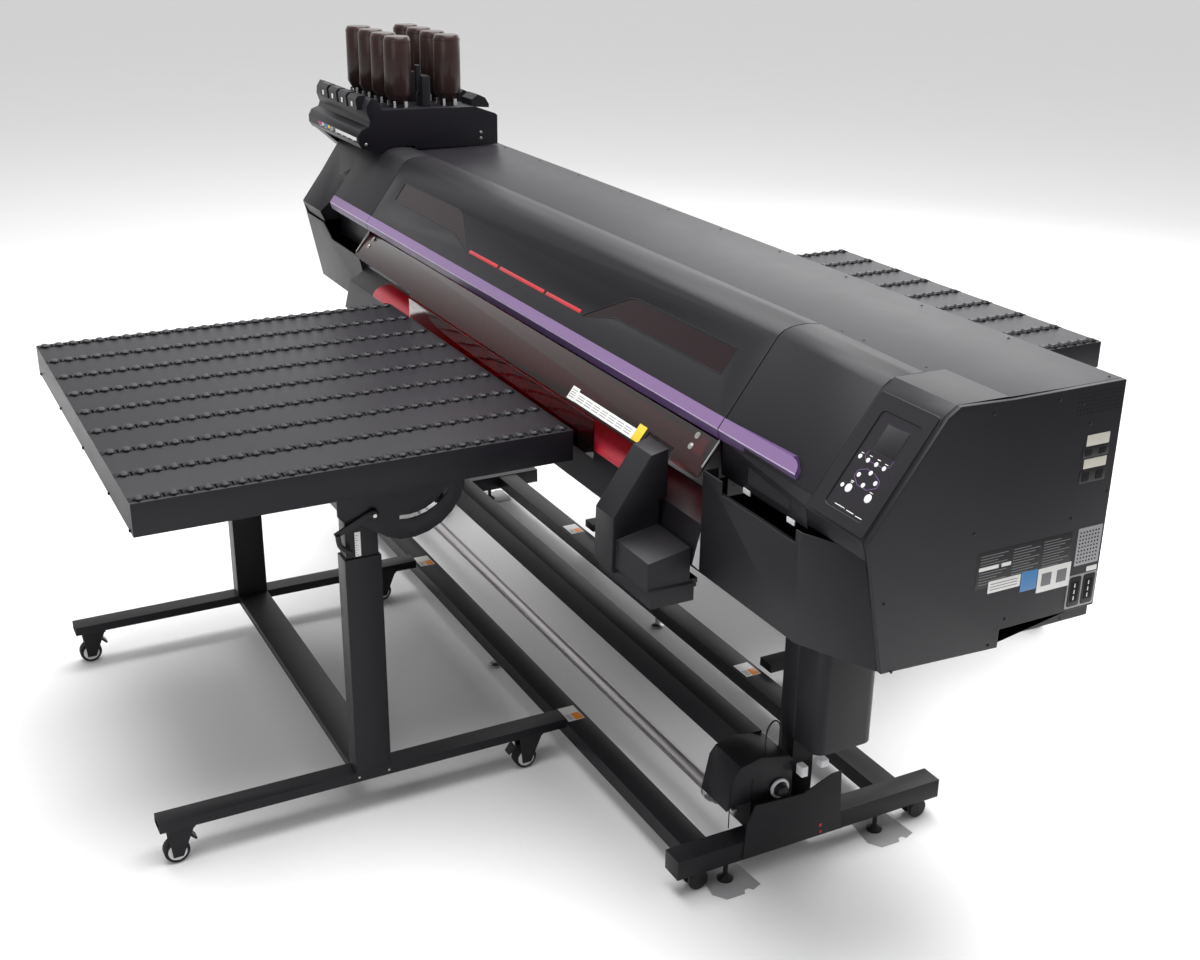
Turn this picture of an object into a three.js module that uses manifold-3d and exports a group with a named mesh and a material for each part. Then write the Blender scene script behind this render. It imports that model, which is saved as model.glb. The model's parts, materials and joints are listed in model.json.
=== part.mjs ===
// Wide-format ultraviolet inkjet printer with a roller table in front and one behind.
// Units are millimetres. X runs along the machine (right end positive), Y to the rear, Z up.
// The origin is on the floor under the middle of the whole machine.
import * as THREE from 'three';
import { mergeVertices } from 'three/addons/utils/BufferGeometryUtils.js';
import Module from 'manifold-3d';

const wasm = await Module();
wasm.setup();

// ---------------------------------------------------------------- driving dimensions
const GAP = 0.4;                 // clearance kept between touching pieces
const BODY_END = 1730;           // right end of the body, and left end of the ink station
const BODY_L = -1630;            // left end of the body
const BODY_REAR = 310;           // rear face of the body
const TOP_Z = 1315;              // flat top of the body
const SKIN = 3;                  // thickness of the moulded and sheet covers
const SEAM_L = -990;             // left edge of the opening front cover
const SEAM_R = 1191;             // right edge of the opening front cover
const HOUSING_X = 1535;          // left edge of the control housing
const PANEL_T = 14;              // thickness of the end panels
const PLATEN_Z = 968;            // height of the media path
const BEAM_L = -1094;            // left end of the platen beam
const SHIELD_LEAN = 38;          // lean of the red shield, degrees from upright
const SKIRT_Y = -302;            // front face of the lower right cover

const STAND_X = 50;              // middle of the printer stand
const LEG_X = 1171;              // stand middle to the middle of a foot bar
const LEG_W = 58;
const LEG_FRONT = -361;
const LEG_REAR = 400;
const LEG_LOW = 53;
const LEG_TOP = 103;
const COLUMN_W = 60;
const COLUMN_AT = 1106;          // stand middle to the middle of a column
const CASTER_R = 26;             // twin casters of the stand
const CASTER_YS = [-296, 349];

const TABLE_X = 30;              // middle of both roller tables
const TABLE_W = 1258;
const TABLE_IN = 338;            // inner end of a table, from the middle of the printer
const TABLE_OUT = 1382;          // outer end of a table
const TRAY_TOP = 960;
const TRAY_H = 78;
const BAR_LOW = 100;             // foot bars of the tables
const BAR_TOP = 125;
const BAR_W = 56;
const BAR_X = 548;               // table middle to the middle of a foot bar
const POST_Y = 861;              // middle of the telescopic posts
const POST_W = 90;
const POST_TOP = 706;
const WHEEL_R = 31;
const WHEEL_YS = [1352, 438];    // caster places along a foot bar

const BOTTLE_R = 46;
const BOTTLE_PITCH = 128;
const BOTTLE_X = -1262;
const BOTTLE_ROWS = { front: -40, rear: 140 };
const BOTTLE_TOP = 1686;

// ---------------------------------------------------------------- materials
function plastic(color, roughness, metalness = 0) {
  return new THREE.MeshStandardMaterial({ color, roughness, metalness });
}
const cover = plastic(0x2b2a2e, 0.45);
const coverLight = plastic(0x3a383d, 0.5);
const sheet = plastic(0x211f24, 0.55, 0.3);
const frameSteel = plastic(0x262529, 0.5, 0.4);
const steel = plastic(0xb9b6b3, 0.3, 0.9);
const rubber = plastic(0x151517, 0.8);
const redAcrylic = plastic(0x7a0f1c, 0.12);
const redLip = plastic(0xc01426, 0.3);
const bottleBrown = plastic(0x33201f, 0.18);
const keyWhite = plastic(0xe9e9ec, 0.4);

// ---------------------------------------------------------------- solids
function solid(geometry) {
  geometry.deleteAttribute('normal');
  geometry.deleteAttribute('uv');
  const merged = mergeVertices(geometry, 1e-3);
  return new wasm.Manifold(new wasm.Mesh({
    numProp: 3,
    vertProperties: new Float32Array(merged.attributes.position.array),
    triVerts: new Uint32Array(merged.index.array),
  }));
}

function join(...solids) {
  return solids.reduce((all, next) => all.add(next));
}

function cut(body, ...tools) {
  return tools.reduce((rest, tool) => rest.subtract(tool), body);
}

function box(x0, x1, y0, y1, z0, z1) {
  const geometry = new THREE.BoxGeometry(x1 - x0, y1 - y0, z1 - z0);
  geometry.translate((x0 + x1) / 2, (y0 + y1) / 2, (z0 + z1) / 2);
  return solid(geometry);
}

function outline(points) {
  return new THREE.Shape(points.map(([a, b]) => new THREE.Vector2(a, b)));
}

function extrude(shape, depth, segments = 8) {
  return new THREE.ExtrudeGeometry(shape, { depth, bevelEnabled: false, curveSegments: segments });
}

// An outline of [y, z] points carried along X.
function alongX(points, x0, x1) {
  const geometry = extrude(outline(points), x1 - x0);
  geometry.applyMatrix4(new THREE.Matrix4().set(0, 0, 1, x0, 1, 0, 0, 0, 0, 1, 0, 0, 0, 0, 0, 1));
  return solid(geometry);
}

// One outline at x0 that changes evenly into another at x1.
function blendX(first, x0, last, x1) {
  const count = first.length;
  const positions = [];
  const corner = (points, x, i) => positions.push(x, ...points[i % count]);
  for (let i = 0; i < count; i += 1) {
    corner(first, x0, i);
    corner(first, x0, i + 1);
    corner(last, x1, i + 1);
    corner(first, x0, i);
    corner(last, x1, i + 1);
    corner(last, x1, i);
  }
  const flat = (points) => THREE.ShapeUtils.triangulateShape(
    points.map(([a, b]) => new THREE.Vector2(a, b)), []);
  for (const [a, b, c] of flat(first)) {
    [a, c, b].forEach((i) => corner(first, x0, i));
  }
  for (const [a, b, c] of flat(last)) {
    [a, b, c].forEach((i) => corner(last, x1, i));
  }
  const geometry = new THREE.BufferGeometry();
  geometry.setAttribute('position', new THREE.Float32BufferAttribute(positions, 3));
  return solid(geometry);
}

// An outline of [x, z] points carried along Y.
function alongY(points, y0, y1) {
  const geometry = extrude(outline(points), y1 - y0);
  geometry.applyMatrix4(new THREE.Matrix4().set(1, 0, 0, 0, 0, 0, -1, y1, 0, 1, 0, 0, 0, 0, 0, 1));
  return solid(geometry);
}

// An outline of [x, y] points carried along Z.
function alongZ(points, z0, z1) {
  const geometry = extrude(outline(points), z1 - z0);
  geometry.translate(0, 0, z0);
  return solid(geometry);
}

// A turned piece: the profile is [radius, distance along the axis], from axis to axis.
function turned(profile, axis, at, segments = 24) {
  const points = profile.map(([r, h]) => new THREE.Vector2(r, h));
  const geometry = new THREE.LatheGeometry(points, segments);
  if (axis === 'z') geometry.rotateX(Math.PI / 2);
  if (axis === 'x') geometry.rotateZ(-Math.PI / 2);
  geometry.translate(...at);
  return solid(geometry);
}

function rod(axis, at, radius, from, to, segments = 24) {
  return turned([[0, from], [radius, from], [radius, to], [0, to]], axis, at, segments);
}

// The line moved inwards, to the left of its direction, with mitred corners.
function movedIn(points, thickness, closed) {
  const count = points.length;
  const side = points.map(([c, d], i) => {
    const [a, b] = points[(i + 1) % count];
    const length = Math.hypot(a - c, b - d);
    return [-(b - d) / length, (a - c) / length];
  });
  return points.map(([a, b], i) => {
    const before = side[closed ? (i + count - 1) % count : Math.max(i - 1, 0)];
    const after = side[closed ? i : Math.min(i, count - 2)];
    const sum = [before[0] + after[0], before[1] + after[1]];
    const scale = 2 * thickness / (sum[0] ** 2 + sum[1] ** 2);
    return [a + sum[0] * scale, b + sum[1] * scale];
  });
}

// The closed outline of a bent sheet, from its open line of outer points.
function sheetOutline(points, thickness) {
  return [...points, ...movedIn(points, thickness, false).reverse()];
}

// A pressed panel: its outline along X with a thin face and a rim, open on the inner side.
function panelAlongX(points, faceX, depthX, wall) {
  const inward = Math.sign(depthX);
  const ends = [faceX, faceX + depthX];
  const hollow = [faceX + inward * wall, faceX + depthX + inward];
  return cut(alongX(points, Math.min(...ends), Math.max(...ends)),
    alongX(movedIn(points, wall, true), Math.min(...hollow), Math.max(...hollow)));
}

const machine = new THREE.Group();

function add(name, body, material, parent = machine) {
  const { vertProperties, triVerts } = body.getMesh();
  const geometry = new THREE.BufferGeometry();
  geometry.setAttribute('position', new THREE.BufferAttribute(vertProperties, 3));
  geometry.setIndex(new THREE.BufferAttribute(triVerts, 1));
  geometry.computeVertexNormals();
  const mesh = new THREE.Mesh(geometry, material);
  mesh.name = name;
  parent.add(mesh);
  return mesh;
}

// ---------------------------------------------------------------- printer stand
// A foot bar with its column and its gusset plate. The gusset is on the outer face.
function standLeg(side) {
  const x = STAND_X + side * LEG_X;
  const outer = x + side * LEG_W / 2;
  const columnX = STAND_X + side * COLUMN_AT;
  const bar = box(x - LEG_W / 2, x + LEG_W / 2, LEG_FRONT, LEG_REAR, LEG_LOW, LEG_TOP);
  const column = box(columnX - COLUMN_W / 2, columnX + COLUMN_W / 2, -12, 48, LEG_LOW, 850);
  const shoe = box(Math.min(columnX, x), Math.max(columnX, x), -30, 66, LEG_LOW + 5, LEG_TOP + 8);
  const gusset = [[-186, 56], [-178, 150], [-157, 198], [-20, 190], [60, 221], [85, 222],
    [92, 100], [100, 56]];
  const plate = alongX(gusset, Math.min(outer - side, outer + side * 4),
    Math.max(outer - side, outer + side * 4));
  const forks = CASTER_YS.map((y) => cut(
    box(x - 8, x + 8, y - 13, y + 13, 14, LEG_LOW + 1),
    rod('x', [x, y, CASTER_R], 4.6, -9, 9, 16),
  ));
  const barHollow = box(x - 26, x + 26, LEG_FRONT + 3, LEG_REAR + 1, LEG_LOW + 3, LEG_TOP - 3);
  const columnHollow = box(columnX - 27, columnX + 27, -9, 45, LEG_TOP + 12, 860);
  return cut(join(bar, column, shoe, plate, ...forks), barHollow, columnHollow);
}

// A twin wheel: two discs on one axle, turning about the X axis.
function twinWheel() {
  return turned([[0, -20], [CASTER_R - 3, -20], [CASTER_R, -17], [CASTER_R, -9.5], [4, -9.5],
    [4, 9.5], [CASTER_R, 9.5], [CASTER_R, 17], [CASTER_R - 3, 20], [0, 20]], 'x', [0, 0, 0], 20);
}

// A levelling foot: a round pad under a threaded stem.
function levellingFoot() {
  return turned([[0, 0], [20, 0], [20, 6], [8, 14], [6, 17], [6, 48], [0, 48]],
    'z', [0, 0, 0], 16);
}

// A low beam of the stand with the screw jack under its middle.
function lowBeam(y0, y1) {
  const inner = LEG_X - LEG_W / 2 - GAP;
  const middle = (y0 + y1) / 2;
  const beam = cut(box(STAND_X - inner, STAND_X + inner, y0, y1, 60, LEG_TOP - 2),
    box(STAND_X - inner - 1, STAND_X + inner + 1, y0 + 3, y1 - 3, 59, LEG_TOP - 5));
  const jack = turned([[0, 0.5], [19, 0.5], [19, 4], [12, 8], [7, 9], [6, 11], [6, 99], [0, 99]],
    'z', [STAND_X, middle, 0], 20);
  return join(beam, jack);
}

function makeStand() {
  for (const [name, side] of [['right', 1], ['left', -1]]) {
    add(`stand_leg_${name}`, legWithSockets(side), frameSteel);
    const x = STAND_X + side * LEG_X;
    for (const [place, wheelY, footY] of [['front', CASTER_YS[0], -219],
      ['rear', CASTER_YS[1], 219]]) {
      const wheel = add(`stand_caster_${place}_${name}`, twinWheel(), rubber);
      wheel.position.set(x, wheelY, CASTER_R);
      const foot = add(`levelling_foot_${place}_${name}`, levellingFoot(), rubber);
      foot.position.set(x + side * 12, footY, 0);
    }
  }
  add('front_beam', lowBeam(-318, -250), frameSteel);
  add('rear_beam', lowBeam(240, 308), frameSteel);
  add('tension_profile', tensionProfile(), frameSteel);
}

// The stand leg with a bore for each levelling stem and a clear hub for each wheel.
function legWithSockets(side) {
  const x = STAND_X + side * LEG_X;
  const bores = [-219, 219].map((y) => rod('z', [x + side * 12, y, 0], 6.8, 40, 92, 16));
  return cut(standLeg(side), ...bores);
}

// The black rail behind the take-up tube, an open U section.
function tensionProfile() {
  const x0 = STAND_X - COLUMN_AT + COLUMN_W / 2 + GAP;
  const section = [[-108, 214], [-104, 214], [-104, 286], [-52, 286], [-52, 214], [-48, 214],
    [-48, 290], [-108, 290]];
  const arm = box(x0, x0 + 60, -60, -10, 216, 284);
  return join(alongX(section, x0, 1105 - GAP), cut(arm, box(x0 - 1, x0 + 70, -51, -30, 0, 1)));
}

// ---------------------------------------------------------------- take-up unit
const TUBE_Y = -180;
const TUBE_Z = 157;

function makeTakeUp() {
  const x1 = STAND_X + LEG_X + LEG_W / 2 - GAP;
  const wall = 4;
  const side = [[-215, 176], [-212, 190], [-196, 268], [-180, 288], [-126, 300], [-45, 282],
    [-36, 270], [-32, LEG_TOP + GAP], [-150, LEG_TOP + GAP], [-150, 186], [-205, 186]];
  const shell = alongX(side, 1105, 1220);
  const inner = alongX([[-196, 194], [-183, 266], [-170, 282], [-126, 292], [-50, 276],
    [-42, 266], [-38, LEG_TOP - 5], [-140, LEG_TOP - 5], [-140, 194]], 1105 + wall, 1220 - wall);
  const knob = turned([[0, -1], [19, -1], [19, 9], [15, 11], [15, 22], [12, 25], [0, 25]],
    'x', [1220, -73, 205], 20);
  add('take_up_housing', join(cut(shell, inner), knob), cover);

  const tube = turned([[0, -1085], [9, -1085], [9, -1062], [17, -1062], [17, 1040], [26, 1042],
    [26, 1064], [20, 1066], [20, 1084], [14, 1086], [14, 1120], [9, 1122], [9, x1 - 42 - STAND_X],
    [0, x1 - 42 - STAND_X]], 'x', [STAND_X - 1.5, TUBE_Y, TUBE_Z], 24);
  add('take_up_tube', tube, steel);

  const tank = alongZ(roundedBox(1225, 1335, -58, 104, 26), 345, 796);
  const hollow = alongZ(roundedBox(1229, 1331, -54, 100, 22), 350, 800);
  add('waste_ink_tank', cut(tank, hollow), coverLight);

  add('sensor_lead', sensorLead(), rubber);
}

// The corners of an upright box with round edges, as [x, y] points.
function roundedBox(x0, x1, y0, y1, radius) {
  const points = [];
  const corners = [[x1 - radius, y0 + radius, -90], [x1 - radius, y1 - radius, 0],
    [x0 + radius, y1 - radius, 90], [x0 + radius, y0 + radius, 180]];
  for (const [cx, cy, start] of corners) {
    for (let step = 0; step <= 4; step += 1) {
      const angle = THREE.MathUtils.degToRad(start + step * 22.5);
      points.push([cx + radius * Math.cos(angle), cy + radius * Math.sin(angle)]);
    }
  }
  return points;
}

// The lead that leaves the top of the take-up unit and bows back into it.
function sensorLead() {
  const route = [[1205, -104, 296.5], [1204, -106, 330], [1200, -98, 362], [1196, -80, 374],
    [1192, -62, 362], [1190, -54, 330], [1190, -58, 286.5]];
  const curve = new THREE.CatmullRomCurve3(route.map((p) => new THREE.Vector3(...p)));
  const section = outline([0, 1, 2, 3, 4, 5, 6, 7].map((i) => [
    2.2 * Math.cos(i * Math.PI / 4), 2.2 * Math.sin(i * Math.PI / 4)]));
  return solid(new THREE.ExtrudeGeometry(section, { steps: 24, extrudePath: curve }));
}

// ---------------------------------------------------------------- body, lower part
// Side outline of an end panel as [y, z] points.
const PANEL = [[BODY_REAR, 833], [BODY_REAR, TOP_Z], [30, TOP_Z], [-98, 1320], [-125, 1302],
  [-286, 1085], [-275, 1043], [-226, 804], [62, 792], [62, 832]];

function makeLowerBody() {
  // Folded beam under the platen, with its sloping front and rear media guides. It is open below.
  const shape = [[280, 802], [304, 824], [304, 954], [-240, 954], [-262, 936], [-300, 914],
    [-322, 824], [-300, 802]];
  const x1 = SEAM_R - GAP;
  const rollerSlot = box(BEAM_L + 54, 1082, -30, 30, 940, 980);
  add('platen_beam', cut(alongX(sheetOutline(shape, 3), BEAM_L, x1), rollerSlot), sheet);

  const plate = box(BEAM_L + 2, x1 - 2, -238, 258, 954 + GAP, PLATEN_Z);
  const slot = box(BEAM_L + 54, 1082, -30, 30, 950, 980);
  add('platen', cut(plate, slot), steel);

  const roller = turned([[0, -1120], [6, -1120], [6, -1100], [11, -1100], [11, 950], [6, 950],
    [6, 970], [0, 970]], 'x', [90, 0, PLATEN_Z - 10], 16);
  add('feed_roller', cut(roller, box(1068, 1100, -20, 20, 950, 970)), steel);

  // Curved red lip in front of the platen.
  const lip = [];
  for (let step = 0; step <= 8; step += 1) {
    const angle = THREE.MathUtils.degToRad(84 + step * 12);
    lip.push([-266 + 58 * Math.cos(angle), 930 + 36 * Math.sin(angle)]);
  }
  add('red_guide_lip', alongX(sheetOutline(lip, 3), -830, 962), redLip);

  add('lower_right_cover', lowerRightCover(), cover);
  add('left_end_cover', leftEndCover(), cover);
  add('right_end_panel', panelAlongX(PANEL, BODY_END, -PANEL_T, 2.5), sheet);
  add('front_pod', frontPod(), cover);
}

// Lower right cover: front, sloping corner and floor, with the trough behind its front edge.
function lowerRightCover() {
  const x0 = SEAM_R;
  const x1 = BODY_END - PANEL_T - GAP;
  const plan = [[x0, SKIRT_Y], [1553, SKIRT_Y], [x1, -228], [x1, BODY_REAR], [x0, BODY_REAR]];
  const inner = [[x0 + 4, SKIRT_Y + 4], [1551, SKIRT_Y + 4], [x1 - 4, -226], [x1 - 4, BODY_REAR - 4],
    [x0 + 4, BODY_REAR - 4]];
  const shell = cut(alongZ(plan, 804, 1041), alongZ(inner, 808, 1050));
  const trough = box(1266, 1532, SKIRT_Y - 5, SKIRT_Y + 30, 1012, 1050);
  const ledge = box(x0 + 2, 1552, SKIRT_Y + 2, -262, 985, 990);
  const carriagePass = box(x0 - 1, x0 + 5, -240, 302, 970, 1050);
  const coverPass = box(x0 - 1, x0 + 5, -264, -239, 1016, 1050);
  return join(cut(shell, trough, carriagePass, coverPass), ledge);
}

// Left end: the end panel in one piece with the lower cover, a tub that leans back.
function leftEndCover() {
  const x1 = BEAM_L - GAP;
  const outer = [[-275, 1041], [-226, 804], [-190, 790], [300, 790], [BODY_REAR, 800],
    [BODY_REAR, 1034]];
  const inner = [[-277, 1070], [-222, 808], [-188, 794], [298, 794], [BODY_REAR - 4, 803],
    [BODY_REAR - 4, 1070]];
  const tub = cut(alongX(outer, BODY_L, x1), alongX(inner, BODY_L + 4, x1 - 4));
  const trough = [[-1445, 1050], [-1380, 990], [x1 + 5, 990], [x1 + 5, 1050]];
  const panel = panelAlongX(PANEL, BODY_L, PANEL_T, 2.5);
  const shieldPass = box(x1 - 5, x1 + 1, -300, -200, 975, 1050);
  return join(cut(tub, alongY(trough, -300, -240), shieldPass), panel);
}

// The sloping housing at the right end of the media path, with its low side box. Open behind.
function frontPod() {
  const tall = [[-302, 1041], [-345, 1031], [-437, 899], [-440, 772], [-434, 766], [-302, 766]];
  const tallIn = [[-290, 1036], [-343, 1026], [-433, 897], [-436, 774], [-432, 770], [-290, 770]];
  const low = [[-302, 869], [-428, 846], [-428, 778], [-302, 778]];
  const lowIn = [[-290, 866], [-424, 842], [-424, 782], [-290, 782]];
  const y = SKIRT_Y - GAP;
  const shell = join(alongX(tall, 966, 1049), alongX(low, 1045, 1189));
  const hollow = join(alongX(tallIn, 970, 1045), alongX(lowIn, 1040, 1185));
  const step = box(960, 1195, -330 - 93, y - 12, 740, 783);
  const flange = box(970, 1185, y - 6, y, 766, 800);
  const beamNose = box(900, 1300, -322 - GAP, -200, 790, 926);
  return cut(join(cut(join(shell, step), hollow), flange), box(900, 1300, y, -200, 700, 1100), beamNose);
}

// ---------------------------------------------------------------- body, covers above
// Front profile of the covers, from the top hinge line down over the slope to the trim.
const SLOPE = [[-26, 1326], [-62, 1331], [-96, 1329], [-117, 1323], [-131, 1312], [-253, 1146],
  [-268, 1126], [-263, 1107]];

function frontSheet(extra, x0, x1) {
  return alongX(sheetOutline([...SLOPE, ...extra], SKIN), x0, x1);
}

// The outlines of the two windows as [x, distance up the slope from the trim] points.
const WINDOWS = {
  left: [[-893, 150], [-442, 150], [-405, 140], [-252, 48], [-405, 84], [-893, 86]],
  right: [[475, 46], [613, 80], [1091, 80], [1091, 146], [656, 146], [624, 138]],
};

// The key face of the control housing, between its upper and lower bends.
const FACE_TOP = [-125, 1302];
const FACE_LOW = [-286, 1085];

// Slope coordinates: the slope starts at the trim and rises to the rear.
const SLOPE_LOW = [-253, 1146];
const SLOPE_ANGLE = Math.atan2(1312 - 1146, -131 + 253);

// A plate lying in the slope of the front cover: x and slope distance, between two depths.
function onSlope(points, depth0, depth1) {
  const geometry = extrude(outline(points), depth1 - depth0);
  geometry.translate(0, 0, depth0);
  geometry.rotateX(SLOPE_ANGLE);
  geometry.translate(0, ...SLOPE_LOW);
  return solid(geometry);
}

function shrink(points) {
  const cx = points.reduce((sum, p) => sum + p[0], 0) / points.length;
  const cz = points.reduce((sum, p) => sum + p[1], 0) / points.length;
  return points.map(([x, z]) => [cx + (x - cx) * 0.992, cz + (z - cz) * 0.98]);
}

function makeUpperBody() {
  const flat = [[-20, TOP_Z - 14], [-20, TOP_Z], [BODY_REAR, TOP_Z], [BODY_REAR, 1036],
    [BODY_REAR - 2, 1036], [BODY_REAR - 2, TOP_Z - 2], [-18, TOP_Z - 2], [-18, TOP_Z - 14]];
  const x0 = BODY_L + PANEL_T + GAP;
  const x1 = BODY_END - PANEL_T - GAP;
  const rightBay = box(SEAM_R - 1, x1 + 5, -30, 320, 1030, 1048);
  add('top_cover', cut(alongX(flat.reverse(), x0, x1), rightBay), coverLight);

  // It runs from the section of the front cover to that of the control housing.
  const near = sheetOutline([...SLOPE, [-258, 1104], [-257, 1024]], SKIN);
  const far = sheetOutline([[-26, 1319.2], [-62, 1319.6], [-90, 1320], [-108, 1315], [-125, 1302],
    [-240.7, 1146], [-255.6, 1126], [-269.7, 1107], [-285, 1086], [-275, 1036]], SKIN);
  add('right_cover', blendX(near, SEAM_R + 1, far, HOUSING_X - GAP), cover);

  const housing = [[26, TOP_Z + 3], [-98, TOP_Z + 5], FACE_TOP, FACE_LOW, [-275, 1045]];
  const face = alongX(sheetOutline(housing, SKIN), HOUSING_X, x1);
  const rib = alongX([[-24, TOP_Z + 2], [-98, TOP_Z + 4], [-124, 1301], [-284, 1084.6], [-274, 1046],
    [-240, 1046], [-240, 1090], [-110, 1280], [-24, 1290]], HOUSING_X, HOUSING_X + 4);
  const underTop = box(HOUSING_X - 5, x1 + 5, -20 - GAP, 40, 1200, TOP_Z + GAP);
  add('control_housing', cut(join(face, rib), underTop, ...keyBores()), cover);

  add('left_cover', leftCover(), cover);
  makeFrontCover();

  add('uv_shield', uvShield(), redAcrylic);
}

// Red shield that hangs from the front cover and leans out over the guide, cut away round the
// pod. Its outline is [x, distance from its upper edge], with downwards negative.
function uvShield() {
  const x0 = SEAM_L + 1.5;
  const x1 = SEAM_R - 1.5;
  const points = [[x0, 3], [x0, -98], [-480, -98], [-466, -110], [955, -110], [955, -68],
    [1066, -68], [1066, -86], [1076, -96], [x1 - 6, -98], [x1, -92], [x1, 3]];
  const geometry = extrude(outline(points), 3);
  geometry.translate(0, 0, -3);
  geometry.rotateX(THREE.MathUtils.degToRad(90 - SHIELD_LEAN));
  geometry.translate(0, -256, 1101);
  return solid(geometry);
}

// The left cover: its end runs down to a nose, the rest carries the trim over the grip recess.
function leftCover() {
  const x0 = BODY_L + PANEL_T + GAP;
  const x1 = SEAM_L - 1;
  const nose = [...SLOPE.slice(0, 5), [-287, 1084], [-270, 1045]];
  const corner = [[-1428, 1040], [-1428, 1080], [-1364, 1150], [-1300, 1150], [-1300, 1040]];
  const end = cut(alongX(sheetOutline(nose, SKIN), x0, -1360), alongY(corner, -320, -200));
  const rest = alongX(sheetOutline(SLOPE, SKIN), -1363, x1);
  const wall = box(-1440, x1, -209, -206, 994, 1204);
  const roof = alongX([[-262, 1109], [-206, 1135], [-206, 1139], [-261, 1113]], -1363, x1);
  const fin = alongX([[-280, 1084], [-269, 1048], [-206, 1048], [-206, 1190]], -1440, -1436);
  return join(end, rest, wall, roof, fin);
}

function makeFrontCover() {
  const x0 = SEAM_L + 1;
  const x1 = SEAM_R - 1;
  const seats = Object.values(WINDOWS).map((w) => onSlope(w, -10, 10));
  const ends = [[x0, x0 + 4], [x1 - 4, x1]].map(([a, b]) => alongX([
    [-30, 1322], [-62, 1328], [-96, 1326], [-116, 1320], [-128, 1310], [-250, 1144], [-264, 1125],
    [-261, 1109], [-254, 1109], [-246, 1128], [-116, 1298], [-60, 1308], [-30, 1308]], a, b));
  const sheetBody = frontSheet([], x0, x1);
  add('front_cover', cut(join(sheetBody, ...ends), ...seats), cover);
  for (const [name, points] of Object.entries(WINDOWS)) {
    add(`window_${name}`, onSlope(shrink(points), -2.6, -0.8), redAcrylic);
  }
}

// ---------------------------------------------------------------- keys
// The key face slopes like the housing: places are x and distance down from its top bend.
const FACE_ANGLE = Math.atan2(FACE_TOP[1] - FACE_LOW[1], FACE_TOP[0] - FACE_LOW[0]);
const POWER_KEY = [1607, 197];
const SECOND_KEY = [1666, 197];
const MAT_KEYS = [[1587, 134.4], [1611, 134.4], [1636, 134.4], [1659, 134.4], [1611, 166],
  [1636, 153.3], [1636, 179.7], [1661, 166]];

function facePiece(geometry) {
  geometry.rotateX(FACE_ANGLE);
  geometry.translate(0, ...FACE_TOP);
  return solid(geometry);
}

function disc(x, down, radius, depth0, depth1) {
  const geometry = new THREE.CylinderGeometry(radius, radius, depth1 - depth0, 16);
  geometry.rotateX(Math.PI / 2);
  geometry.translate(x, -down, (depth0 + depth1) / 2);
  return facePiece(geometry);
}

function keyBores() {
  const small = MAT_KEYS.map(([x, down]) => disc(x, down, 5.6, -8, 8));
  return [...small, disc(...POWER_KEY, 9.6, -8, 8), disc(...SECOND_KEY, 9.6, -8, 8)];
}

// A flat plate in the plane of the key face, between two depths.
function facePlate(x0, x1, down0, down1, depth0, depth1) {
  const geometry = new THREE.BoxGeometry(x1 - x0, down1 - down0, depth1 - depth0);
  geometry.translate((x0 + x1) / 2, -(down0 + down1) / 2, (depth0 + depth1) / 2);
  return facePiece(geometry);
}

function makeKeys() {
  const backing = join(facePlate(1579, 1669, 126, 187, -6.2, -4.8),
    facePlate(1654, 1678, 180, 207, -6.2, -4.8));
  const pads = MAT_KEYS.map(([x, down]) => disc(x, down, 5, -5.4, 1.2));
  add('key_mat', join(backing, ...pads, disc(...SECOND_KEY, 9, -5.4, 1.4)), keyWhite);
  add('power_key', disc(...POWER_KEY, 9, -6, 1.4), keyWhite);
}

// ---------------------------------------------------------------- carriage
function makeCarriage() {
  const x0 = BODY_L + PANEL_T + GAP;
  const rail = [[190, 1090], [250, 1090], [250, 1180], [190, 1180], [190, 1150], [176, 1150],
    [176, 1138], [190, 1138]];
  const railIn = [[196, 1096], [244, 1096], [244, 1174], [196, 1174]];
  const x1 = BODY_END - PANEL_T - GAP;
  add('carriage_rail', cut(alongX(rail.reverse(), x0, x1), alongX(railIn, x0 + 60, x1 + 5)), steel);

  const home = 1240;
  const width = 260;
  const body = [[-110, 984], [140, 984], [140, 1100], [186, 1100], [186, 1134], [172, 1134],
    [172, 1154], [186, 1154], [186, 1186], [130, 1200], [-80, 1200], [-110, 1170]];
  const inner = [[-104, 970], [134, 970], [134, 1180], [-78, 1180], [-104, 1160]];
  const shell = cut(alongX(body, home, home + width), alongX(inner, home + 5, home + width - 5));
  add('print_carriage', shell, cover);
}

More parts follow.
